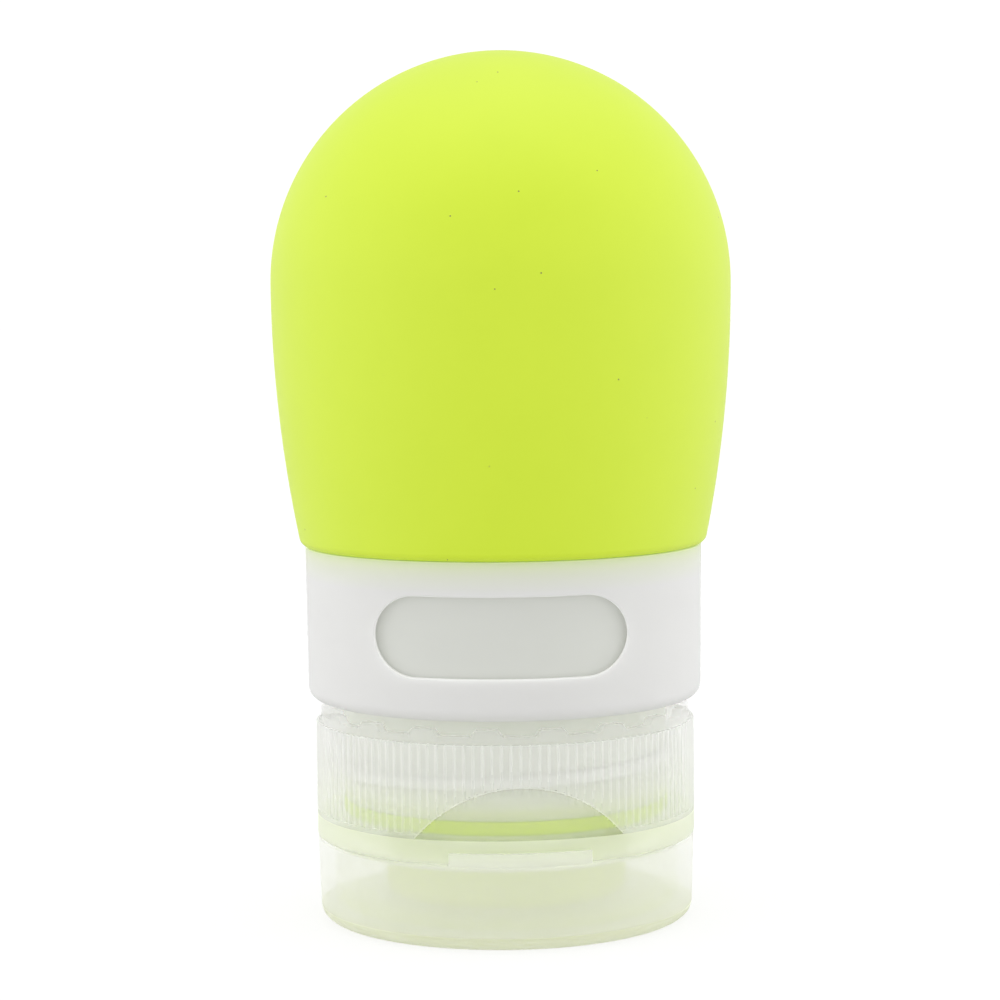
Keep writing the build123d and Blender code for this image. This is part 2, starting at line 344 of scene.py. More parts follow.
class Shell:
    """A mesh in the making: closed rows of points, joined by faces."""

    def __init__(self) -> None:
        """Starts with no points and no faces."""
        self.points: list[Spot] = []
        self.faces: list[tuple[int, ...]] = []
        self.marks: dict[str, list[float]] = {}

    def row(self, spots: list[Spot], **marks: float | list[float]) -> list[int]:
        """Adds a row of points.

        Args:
            spots: Their places.
            **marks: Numbers to store on the points, one for all of them or one for each.

        Returns:
            The points' numbers.
        """
        first = len(self.points)
        self.points += spots
        for name, values in marks.items():
            stored = self.marks.setdefault(name, [])
            stored += values if isinstance(values, list) else [values] * len(spots)
        return list(range(first, len(self.points)))

    def gap(self, a: int, b: int) -> float:
        """The distance between two points."""
        return math.dist(self.points[a], self.points[b])

    def join(self, low: list[int], high: list[int]) -> None:
        """Joins two rows, where the fuller one has a whole multiple of the other's points.

        Args:
            low: The first row.
            high: The second row.
        """
        many, few = (low, high) if len(low) >= len(high) else (high, low)
        share = len(many) // len(few)
        for k, point in enumerate(few):
            following = few[(k + 1) % len(few)]
            for s in range(share):
                edge = many[k * share + s], many[(k * share + s + 1) % len(many)]
                if s == share // 2 and len(few) > 1:
                    face = (*edge, following, point)
                else:
                    face = (*edge, point if s < share // 2 else following)
                self.faces.append(face if many is low else face[::-1])

    def join_all(self, rows: list[list[int]], closed: bool = False) -> None:
        """Joins each row to the next, and the last to the first where it is closed."""
        for low, high in zip(rows, rows[1:] + (rows[:1] if closed else [])):
            self.join(low, high)

    def cap(self, row: list[int]) -> None:
        """Closes a row whose two halves face each other."""
        for k in range(len(row) // 2 - 1):
            self.faces.append((row[k], row[k + 1], row[-2 - k], row[-1 - k]))

    def lathe(self, outline: list[Point], columns: int, closed: bool = False) -> None:
        """Turns an outline round the axis.

        Args:
            outline: The outline, as radius and height.
            columns: The number of points in each row.
            closed: Whether the outline's last point joins the first.
        """
        turns = [TURN * k / columns for k in range(columns)]
        rows = [[around(r, t, z) for t in (turns if r > TINY * MM else turns[:1])] for r, z in outline]
        self.join_all([self.row(spots) for spots in rows], closed)

    def mesh(self, name: str) -> Mesh:
        """The finished mesh.

        Args:
            name: Its name.

        Returns:
            The mesh, with the marks stored on its points.
        """
        made = bpy.data.meshes.new(name)
        made.from_pydata(self.points, [], self.faces)
        for mark, values in self.marks.items():
            layer = made.attributes.new(mark, "FLOAT", "POINT")
            layer.data.foreach_set("value", np.array(values, np.float32))
        return made


def tidy(mesh: Mesh, sharp_over: float = 30.0) -> Mesh:
    """Merges doubles, closes small holes, points the faces outwards, and shades smooth but for sharp edges.

    Args:
        mesh: The mesh to change.
        sharp_over: The angle in degrees past which an edge stays sharp.

    Returns:
        The same mesh.
    """
    work = bmesh.new()
    work.from_mesh(mesh)
    bmesh.ops.remove_doubles(work, verts=work.verts, dist=MERGE)
    bmesh.ops.dissolve_degenerate(work, edges=work.edges, dist=SLIVER)
    bmesh.ops.holes_fill(work, edges=[e for e in work.edges if e.is_boundary], sides=HOLE_SIDES)
    bmesh.ops.recalc_face_normals(work, faces=work.faces)
    for face in work.faces:
        face.smooth = True
    for edge in work.edges:
        edge.smooth = not edge.is_manifold or edge.calc_face_angle() < math.radians(sharp_over)
    work.to_mesh(mesh)
    work.free()
    return mesh


def dressed(mesh: Mesh, *materials: Material) -> Mesh:
    """Gives a mesh its materials."""
    for material in materials:
        mesh.materials.append(material)
    return mesh


def turned(
    name: str,
    corners: list[Corner],
    columns: int,
    steps: int = 3,
    longest: float = 3.0 * MM,
    closed: bool = True,
    sharp_over: float = 30.0,
) -> Mesh:
    """Turns an outline with rounded corners round the axis.

    Args:
        name: The mesh's name.
        corners: The outline's corners.
        columns: The number of points round the axis.
        steps: The number of spans on each rounding.
        longest: The length that no span of the outline may pass.
        closed: Whether the last corner joins the first.
        sharp_over: The angle in degrees past which an edge stays sharp.

    Returns:
        The mesh.
    """
    shell = Shell()
    shell.lathe(spaced(rounded(corners, steps, closed), longest, closed), columns, closed)
    return tidy(shell.mesh(name), sharp_over)


def joined(name: str, *parts: Mesh) -> Mesh:
    """Puts several meshes in one.

    Args:
        name: The name of the whole.
        *parts: The meshes, each with its own materials.

    Returns:
        The whole, with the materials of all.
    """
    materials: list[Material] = []
    work = bmesh.new()
    for part in parts:
        materials += [m for m in part.materials if m not in materials]
        places = [materials.index(m) for m in part.materials]
        first = len(work.faces)
        work.from_mesh(part)
        work.faces.ensure_lookup_table()
        for face in work.faces[first:]:
            face.material_index = places[min(face.material_index, len(places) - 1)]
    made = bpy.data.meshes.new(name)
    work.to_mesh(made)
    work.free()
    return dressed(made, *materials)


def piece(name: str, mesh: Mesh) -> Piece:
    """Makes an object of a mesh, at the origin.

    Args:
        name: The piece's name.
        mesh: Its mesh.

    Returns:
        The object.
    """
    made = bpy.data.objects.new(name, mesh)
    bpy.context.scene.collection.objects.link(made)
    return made


# Finishes


@dataclass(frozen=True)
class Grain:
    """A fine moulded surface: the size of its grain and how far it stands out."""

    size: float
    height: float
    detail: float = 3.0
    roughness: float = 0.6

    def bump(self, tree: Tree, place: Socket) -> Socket:
        """Adds the grain as a bump.

        Args:
            tree: The material's tree.
            place: The place in the object.

        Returns:
            The bump's normal.
        """
        cloud = {"Scale": 1 / self.size, "Detail": self.detail, "Roughness": self.roughness}
        noise = add_node(tree, "ShaderNodeTexNoise", {"Vector": place, **cloud})[0]
        inputs = {"Height": noise, "Distance": self.height, "Strength": 1.0}
        return add_node(tree, "ShaderNodeBump", inputs)[0]


def shader(name: str) -> tuple[Material, Tree, bpy.types.Node, Socket]:
    """Starts a material.

    Args:
        name: The material's name.

    Returns:
        The material, its tree, its surface shader and the place in the object that its patterns read.
    """
    material = bpy.data.materials.new(name)
    material.use_nodes = True
    tree = material.node_tree
    surface = next(n for n in tree.nodes if n.type == "BSDF_PRINCIPLED")
    return material, tree, surface, add_node(tree, "ShaderNodeTexCoord")["Object"]


def shaded(tree: Tree, share: Any, low: Any, high: Any) -> Socket:
    """Mixes two colours by a share."""
    return add_node(tree, "ShaderNodeMix", {0: share, 6: low, 7: high}, data_type="RGBA")[2]


@dataclass(frozen=True)
class SoftSilicone:
    """Matt silicone: an even, slightly mottled colour with a powdery grain and a few specks of dust, and a
    faint painted glow in its own colour.
    """

    name: str
    colour: Colour
    mottle: Colour
    grain: Grain
    roughness: float = 0.5
    roughness_spread: float = 0.04
    sheen: float = 0.06
    sheen_roughness: float = 0.5
    ior: float = 1.42
    shine: float = 1.0
    # Emission in the skin's own colour: a painted glow for light carried through the translucent silicone.
    painted_glow: float = 0.04
    mottle_size: float = 6.0 * MM
    speck_size: float = 2.6 * MM
    speck_share: float = 0.028
    speck_colour: Colour = (0.22, 0.25, 0.04)

    def material(self) -> Material:
        """Builds the material.

        Returns:
            The material.
        """
        material, tree, surface, place = shader(self.name)
        inputs = {"Vector": place, "Scale": 1 / self.mottle_size, "Detail": 4.0}
        cloud = add_node(tree, "ShaderNodeTexNoise", inputs)[0]
        base = shaded(tree, cloud, self.colour, self.mottle)
        cells = add_node(tree, "ShaderNodeTexVoronoi", {"Vector": place, "Scale": 1 / self.speck_size})
        near = Term(tree, cells["Distance"]).math("LESS_THAN", self.speck_share)
        speckled = shaded(tree, near, base, self.speck_colour)
        low, high = self.roughness - self.roughness_spread, self.roughness + self.roughness_spread
        inputs = {
            "Base Color": speckled,
            "Roughness": Term(tree, cloud).blend(low, high),
            "IOR": self.ior,
            "Specular IOR Level": self.shine,
            "Sheen Weight": self.sheen,
            "Sheen Roughness": self.sheen_roughness,
            # Painted glow: the skin emits its own colour.
            "Emission Color": speckled,
            "Emission Strength": self.painted_glow,
            "Normal": self.grain.bump(tree, place),
        }
        feed(tree, surface, inputs)
        return material


@dataclass(frozen=True)
class MouldedPlastic:
    """Plastic with a fine grain and faint flow marks, opaque or milky and see-through.

    A painted green bounce light from the silicone tints it by height: in full at one height, and no more at
    the other. A painted glow in its own colour stands for light scattered through it.
    """

    name: str
    colour: Colour
    flow: Colour
    roughness: float
    solid: float = 1.0
    # Emission in the plastic's own colour: a painted glow for light scattered through it, which also lifts
    # shade.
    painted_glow: float = 0.0
    shine: float = 0.5
    grain: Grain = Grain(0.25 * MM, 0.002 * MM)
    roughness_spread: float = 0.05
    ior: float = 1.49
    glow_depth: float = 3.0 * MM
    painted_bounce: Colour = (0.80, 0.86, 0.62)
    painted_bounce_full: float = 0.0
    painted_bounce_end: float = 0.0
    flow_size: float = 7.0 * MM
    stretch: float = 2.5

    def material(self) -> Material:
        """Builds the material.

        Returns:
            The material.
        """
        material, tree, surface, place = shader(self.name)
        drawn = add_node(tree, "ShaderNodeMapping", {"Vector": place, "Scale": (1.0, 1.0, self.stretch)})[0]
        inputs = {"Vector": drawn, "Scale": 1 / self.flow_size, "Detail": 3.0}
        cloud = add_node(tree, "ShaderNodeTexNoise", inputs)[0]
        base = shaded(tree, cloud, self.colour, self.flow)
        # Painted green bounce: the colour turns green towards one height.
        if self.painted_bounce_full != self.painted_bounce_end:
            height = Term(tree, add_node(tree, "ShaderNodeSeparateXYZ", {0: place})[2])
            clear = ((height - self.painted_bounce_full) / (self.painted_bounce_end - self.painted_bounce_full)).clamp()
            base = shaded(tree, clear.math("SQRT"), self.painted_bounce, base)
        low, high = self.roughness - self.roughness_spread, self.roughness + self.roughness_spread
        inputs = {
            "Base Color": base,
            "Roughness": Term(tree, cloud).blend(low, high),
            "IOR": self.ior,
            "Specular IOR Level": self.shine,
            "Subsurface Weight": float(self.glow_depth > 0),
            "Subsurface Radius": WHITE,
            "Subsurface Scale": self.glow_depth,
            # Painted glow: the plastic emits its own colour.
            "Emission Color": base,
            "Emission Strength": self.painted_glow,
            "Alpha": self.solid,
            "Normal": self.grain.bump(tree, place),
        }
        feed(tree, surface, inputs)
        return material


class Finishes:
    """The finishes of all pieces, made once."""

    def __init__(self) -> None:
        """Builds every material."""
        collar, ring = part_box("window_collar")[1].z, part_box("neck_ring")[0].z
        self.silicone: Material = SoftSilicone(
            "green_silicone", (0.655, 0.85, 0.012), (0.69, 0.878, 0.021), Grain(0.12 * MM, 0.006 * MM)
        ).material()
        # White satin plastic whose top takes a painted green bounce from the bulb above it, fading out 2.8
        # mm down.
        satin = MouldedPlastic(
            "white_satin", (0.82, 0.817, 0.805), (0.79, 0.787, 0.775), 0.42,
            grain=Grain(0.1 * MM, 0.003 * MM), ior=1.5, glow_depth=1.2 * MM,
            painted_bounce=(0.79, 0.91, 0.49), painted_bounce_full=collar, painted_bounce_end=collar - 2.8 * MM,
            flow_size=9.0 * MM, stretch=3.0,
        )
        self.white: Material = satin.material()
        # A lighter copy of the white with a painted glow, for the window's wall and the ring's top: painted
        # light that lifts the shade there.
        self.white_edge: Material = replace(
            satin, name="white_edge", colour=(0.84, 0.837, 0.825), flow=(0.82, 0.817, 0.805), painted_glow=0.08
        ).material()
        # The dial's colour is lowered and a strong painted glow added, to lift the shade at the window's
        # ends.
        matt = replace(
            satin, name="dial_matt", colour=(0.56, 0.57, 0.535), flow=(0.54, 0.55, 0.515), roughness=0.5,
            painted_glow=0.34, painted_bounce_end=collar,
        )
        self.dial: Material = matt.material()
        self.ink: Material = replace(
            matt, name="dial_ink", colour=(0.22, 0.23, 0.22), flow=(0.27, 0.28, 0.27), roughness=0.6,
            painted_glow=0.0, glow_depth=0.0,
        ).material()
        # The neck ring: a painted green bounce from the lip below it, and a painted glow.
        self.milky: Material = MouldedPlastic(
            "milky_plastic", (0.88, 0.89, 0.84), (0.86, 0.87, 0.82), 0.4, painted_glow=0.10,
            painted_bounce=(0.84, 0.91, 0.55), painted_bounce_full=ring + 0.8 * MM, painted_bounce_end=ring + 3.3 * MM,
        ).material()
        # The cap's wall: a painted green band at the lip's height, and a painted glow.
        self.frosted: Material = MouldedPlastic(
            "frosted_plastic", (0.78, 0.788, 0.755), (0.76, 0.77, 0.73), 0.55, 0.20, 0.10, 0.2,
            painted_bounce_full=9.0 * MM, painted_bounce_end=11.0 * MM,
        ).material()
        # A whiter, more solid copy for the rib crests and the cut edge's bead: a painted highlight for
        # their glints.
        self.frosted_edge: Material = MouldedPlastic(
            "frosted_edge", (0.88, 0.888, 0.855), (0.86, 0.87, 0.83), 0.55, 0.51, 0.095, 0.2
        ).material()
        # The ribbed wall's haze, with a painted glow.
        self.haze: Material = MouldedPlastic(
            "frosted_haze", (0.845, 0.853, 0.82), (0.825, 0.835, 0.795), 0.55, 0.46, 0.085, 0.2
        ).material()
        # The boss: its green and its glow are painted light from the green silicone above.
        self.boss: Material = MouldedPlastic(
            "frosted_boss", (0.78, 0.84, 0.44), (0.76, 0.82, 0.42), 0.5, 0.85, 0.07, 0.2
        ).material()
        # The cap's deck: its green cast and its glow are painted light from the green silicone seen through
        # it.
        self.deck: Material = MouldedPlastic(
            "frosted_deck", (0.82, 0.86, 0.69), (0.80, 0.84, 0.67), 0.5, 0.7, 0.14, 0.2
        ).material()
        # The lid: a painted green bounce towards its bottom, and a painted glow.
        self.lid: Material = MouldedPlastic(
            "frosted_lid", (0.88, 0.887, 0.84), (0.86, 0.867, 0.82), 0.45, 0.32, 0.15, 0.3,
            painted_bounce=(0.80, 0.84, 0.60), painted_bounce_full=1.0 * MM, painted_bounce_end=5.0 * MM,
        ).material()
        # The lid's floor: its green is painted light from the green silicone above, with a painted glow.
        self.lid_floor_painted_green: Material = MouldedPlastic(
            "frosted_floor", (0.77, 0.81, 0.55), (0.75, 0.79, 0.53), 0.45, 0.5, 0.07, 0.3
        ).material()
        # The valve and its ring: their green cast and their glow are painted light from the green silicone
        # round them.
        clear = MouldedPlastic("clear_silicone", (0.88, 0.92, 0.72), (0.86, 0.90, 0.69), 0.4, 0.8, 0.2)
        self.clear: Material = clear.material()
        self.retainer: Material = replace(clear, name="lit_plastic", solid=1.0).material()


# Sub-assemblies


@dataclass
class Part:
    """A sub-assembly of the bottle, with the finishes that it draws on."""

    finishes: Finishes


@dataclass
class SqueezeBody(Part):
    """The soft bulb with its foot, neck and turned-out mouth lip."""

    columns: int = 240
    bulb_rows: int = 150
    wall: float = 2.0 * MM
    foot_taper: float = 2.4 * MM
    foot_round: float = 0.9 * MM
    foot_steps: int = 10
    side_height: float = 23.75 * MM
    floor_thickness: float = 2.1 * MM
    foot_sink: float = 0.1 * MM
    neck_radius: float = 13.4 * MM
    neck_wall: float = 1.8 * MM
    lip_reach: float = 1.5 * MM
    lip_thickness: float = 1.25 * MM
    lip_round: float = 0.3 * MM
    inner_round: float = 3.0 * MM
    mouth_round: float = 1.6 * MM
    round_steps: int = 6
    longest: float = 2.5 * MM
    side_spans: int = 13
    top_spans: int = 27

    def __post_init__(self) -> None:
        """Works out the bulb's main measures from the box of the solid."""
        low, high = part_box("squeeze_body")
        self.mouth, self.radius = low.z, high.x
        self.centre = high.z - high.x
        self.shoulder = self.centre - self.side_height - self.foot_sink
        self.side = (self.foot_taper**2 + self.side_height**2) / (2 * self.foot_taper)

    def build(self) -> Piece:
        """Builds the piece.

        Returns:
            The piece, riding on its body.
        """
        foot = self.foot()
        shell = Shell()
        shell.lathe(foot[:-1] + self.neck(foot[-1][0]) + self.inside(), self.columns)
        rest = dressed(shell.mesh("body_inside"), self.finishes.silicone)
        whole = tidy(joined("squeeze_body", self.skin(self.centre - foot[0][1]), rest))
        made = piece("squeeze_body_skin", whole)
        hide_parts("squeeze_body")
        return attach(made, "bottle")

    def skin(self, drop: float) -> Mesh:
        """Builds the outside by rule: a half ball over a side that is one long arc.

        Args:
            drop: How far the side goes down from the ball's middle.

        Returns:
            The outside, open at the foot.
        """
        recipe = Recipe("bulb_by_rule")
        columns, rows = recipe.size("Columns", self.columns + 1), recipe.size("Rows", self.bulb_rows + 1)
        radius, side = recipe.size("Bulb radius", self.radius), recipe.size("Side radius", self.side)
        lowest, middle = recipe.size("Side drop", drop), recipe.size("Middle height", self.centre)
        grid, along, across = recipe.grid(columns, rows)
        turn = along * TURN
        quarter = radius * (TURN / 4)
        way = across * (quarter + lowest)
        tilt = (way / quarter).math("MINIMUM", 1.0) * (TURN / 4)
        down = (way - quarter).math("MAXIMUM", 0.0)
        span = radius * tilt.math("SINE") + ((side * side - down * down).math("SQRT") - side)
        height = middle + radius * tilt.math("COSINE") - down
        placed = recipe.move(grid, span * turn.math("COSINE"), span * turn.math("SINE"), height)
        recipe.finish(placed, self.finishes.silicone)
        return recipe.run()

    def reach(self, z: float, inset: float) -> float:
        """The side's distance from the axis under the ball's middle, at a height and an inset."""
        return self.radius - self.side + math.sqrt((self.side - inset) ** 2 - (self.centre - z) ** 2)

    def foot(self) -> list[Point]:
        """Draws the rounding between the side and the foot's face.

        Returns:
            Its points, from the top.
        """
        height = self.shoulder + self.foot_round
        middle = self.reach(height, self.foot_round)
        tilt = math.atan2(self.centre - height, middle - self.radius + self.side)
        bend = np.linspace(-tilt, -TURN / 4, self.foot_steps + 1)
        radius = self.foot_round
        return [(middle + radius * math.cos(t), height + radius * math.sin(t)) for t in bend]

    def neck(self, start: float) -> list[Point]:
        """Draws the foot's face, the neck and the mouth lip.

        Args:
            start: The radius at which the foot's face starts.

        Returns:
            The outline's points, up to the lip's inner edge.
        """
        lip, under = self.neck_radius + self.lip_reach, self.mouth + self.lip_thickness
        corners = [
            Corner(start, self.shoulder),
            Corner(self.neck_radius, self.shoulder),
            Corner(self.neck_radius, under),
            Corner(lip, under, self.lip_round),
            Corner(lip, self.mouth, self.lip_round),
            Corner(self.neck_radius - self.neck_wall, self.mouth),
        ]
        return spaced(rounded(corners, self.round_steps), self.longest)[:-1]

    def inside(self) -> list[Point]:
        """Draws the hollow.

        Returns:
            The outline's points, from the mouth up to the top of the bulb.
        """
        floor, bore = self.shoulder + self.floor_thickness, self.neck_radius - self.neck_wall
        side = floor + 2 * self.inner_round
        corners = [
            Corner(bore, self.mouth),
            Corner(bore, floor, self.mouth_round),
            Corner(self.reach(floor, self.wall), floor, self.inner_round),
            Corner(self.reach(side, self.wall), side),
        ]
        points = spaced(rounded(corners, self.round_steps), self.longest)
        heights = np.linspace(side, self.centre, self.side_spans + 1)[1:]
        points += [(self.reach(h, self.wall), h) for h in heights]
        radius = self.radius - self.wall
        tilts = np.linspace(0, TURN / 4, self.top_spans + 1)[1:-1]
        points += [(radius * math.cos(t), self.centre + radius * math.sin(t)) for t in tilts]
        return [*points, (0.0, self.centre + radius)]


@dataclass(frozen=True)
class Thread:
    """The screw thread that the neck ring and the cap share."""

    pitch: float = 3.0 * MM
    turns: float = 1.25
    depth: float = 0.85 * MM
    root_width: float = 1.3 * MM
    crest_width: float = 0.7 * MM
    sink: float = 0.1 * MM
    lead_share: float = 0.06
    lead_height: float = 1.25 * MM
    nut_back_turns: float = 0.3
    nut_turns: float = 1.1
    steps_a_turn: int = 120

    def ridge(self, material: Material, wall: float, inner: bool = False) -> Mesh:
        """Builds a helical ridge that grows from a wall and runs out again.

        Args:
            material: Its material.
            wall: The wall's radius.
            inner: Whether it points in from the cap's wall, half a pitch away from the neck ring's.

        Returns:
            The ridge, closed.
        """
        outward, turns, back = 1.0, self.turns, 0.0
        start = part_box("neck_ring")[0].z + self.lead_height
        if inner:
            outward, turns, back = -1.0, self.nut_turns, self.nut_back_turns
            start += (0.5 - back) * self.pitch
        recipe = Recipe("thread_ridge")
        steps = recipe.size("Steps", int(self.steps_a_turn * turns))
        wall_radius, lead = recipe.size("Wall radius", wall), recipe.size("Lead share", self.lead_share)
        depth, sink = recipe.size("Depth", outward * self.depth), recipe.size("Sink", outward * self.sink)
        pitch, turned_by = recipe.size("Pitch", self.pitch), recipe.size("Turns", turns)
        low, first_turn = recipe.size("Start height", start), recipe.size("Start angle", -TURN * back)
        root = recipe.size("Root width", self.root_width)
        crest = recipe.size("Crest width", self.crest_width)
        # The grid's five rows go round the ridge's four corners and back to the first.
        grid, way, across = recipe.grid(steps, 5)
        side = (across * 4.0).math("ROUND").math("FLOORED_MODULO", 4.0) / 3.0 - 0.5
        flank = (side.math("ABSOLUTE") - 1 / 6) * 3.0
        ramp = (way.math("MINIMUM", -way + 1.0) / lead).clamp()
        swell = ramp * ramp * (-ramp * 2.0 + 3.0)
        radius = wall_radius + flank.blend(swell * (sink + depth) - sink, -sink)
        aside = side.math("SIGN") * flank.blend(crest, root) / 2.0
        height = low + way * turned_by * pitch + aside
        turn = first_turn + way * turned_by * TURN
        placed = recipe.move(grid, radius * turn.math("COSINE"), radius * turn.math("SINE"), height)
        recipe.finish(placed, material)
        return tidy(recipe.run())


@dataclass
class NeckRing(Part):
    """The hard ring round the soft neck, with the outer thread."""

    thread: Thread
    columns: int = 192
    step: float = 0.7 * MM
    wall: float = 1.35 * MM
    dial_height: float = 21.3 * MM
    edge_round: float = 0.12 * MM

    def build(self) -> Piece:
        """Builds the piece.

        Returns:
            The piece, riding on its body.
        """
        low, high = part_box("neck_ring")
        root = high.x - self.thread.depth
        outer, bore = root + self.step, root - self.wall
        corners = [
            Corner(bore, low.z, self.edge_round),
            Corner(root, low.z, self.edge_round),
            Corner(root, self.dial_height),
            Corner(outer, self.dial_height, self.edge_round),
            Corner(outer, high.z, self.edge_round),
            Corner(bore, high.z, self.edge_round),
        ]
        ring = dressed(turned("ring_wall", corners, self.columns), self.finishes.milky)
        ridge = self.thread.ridge(self.finishes.milky, root)
        made = piece("neck_ring_threaded", joined("neck_ring", ring, ridge))
        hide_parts("neck_ring")
        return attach(made, "bottle")


@dataclass
class ContentDial(Part):
    """The sleeve in the collar's window, blank in front and with plain dots at its other quarters."""

    columns: int = 256
    wall: float = 1.7 * MM
    bead_reach: float = 0.3 * MM
    bead_height: float = 0.6 * MM
    bead_drop: float = 1.5 * MM
    edge_round: float = 0.12 * MM
    dot_radius: float = 0.75 * MM
    dot_relief: float = 0.03 * MM
    dot_gap: float = 2.6 * MM
    dot_sides: int = 20
    window_turn: float = -5.5
    window_height: float = 27.62 * MM

    def build(self) -> Piece:
        """Builds the piece.

        Returns:
            The piece, riding on its body.
        """
        low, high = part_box("content_dial")
        outer = high.x - self.bead_reach
        bore = outer - self.wall
        bead = high.z - self.bead_drop
        slope, soft = self.bead_reach / 2, self.bead_reach / 4
        corners = [
            Corner(bore, low.z, self.edge_round),
            Corner(outer, low.z, self.edge_round),
            Corner(outer, bead),
            Corner(high.x, bead + slope, soft),
            Corner(high.x, bead + self.bead_height - slope, soft),
            Corner(outer, bead + self.bead_height),
            Corner(outer, high.z, self.edge_round),
            Corner(bore, high.z, self.edge_round),
        ]
        sleeve = dressed(turned("sleeve", corners, self.columns), self.finishes.dial)
        made = piece("content_dial_sleeve", joined("content_dial", sleeve, self.dots(outer)))
        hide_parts("content_dial")
        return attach(made, "bottle")

    def dots(self, radius: float) -> Mesh:
        """Prints low round dots: one, two and three of them at the quarters that the window can turn to.

        Args:
            radius: The sleeve's radius.

        Returns:
            The dots, square to the sleeve.
        """
        places = []
        for quarter in (1, 2, 3):
            middle = FRONT + math.radians(self.window_turn) + TURN / 4 * quarter
            for dot in range(quarter):
                turn = middle + (dot - (quarter - 1) / 2) * self.dot_gap / radius
                places.append(around(radius, turn, self.window_height))
        start = bpy.data.meshes.new("dot_places")
        start.from_pydata(places, [], [])
        recipe = Recipe("dial_dots")
        relief = recipe.size("Dot relief", self.dot_relief)
        sides = {"Radius": recipe.size("Dot radius", self.dot_radius), "Depth": relief * 2.0}
        sides["Vertices"] = self.dot_sides
        disc = recipe.node("GeometryNodeMeshCylinder", sides)[0]
        x, y, _ = recipe.place()
        outward = recipe.node("ShaderNodeCombineXYZ", {0: x, 1: y})[0]
        square = recipe.node("FunctionNodeAlignRotationToVector", {"Vector": outward}, axis="Z")[0]
        points = recipe.node("GeometryNodeMeshToPoints", {"Mesh": recipe.geometry})[0]
        inputs = {"Points": points, "Instance": disc, "Rotation": square}
        recipe.finish(recipe.node("GeometryNodeInstanceOnPoints", inputs)[0], self.finishes.ink)
        return tidy(recipe.run(start))


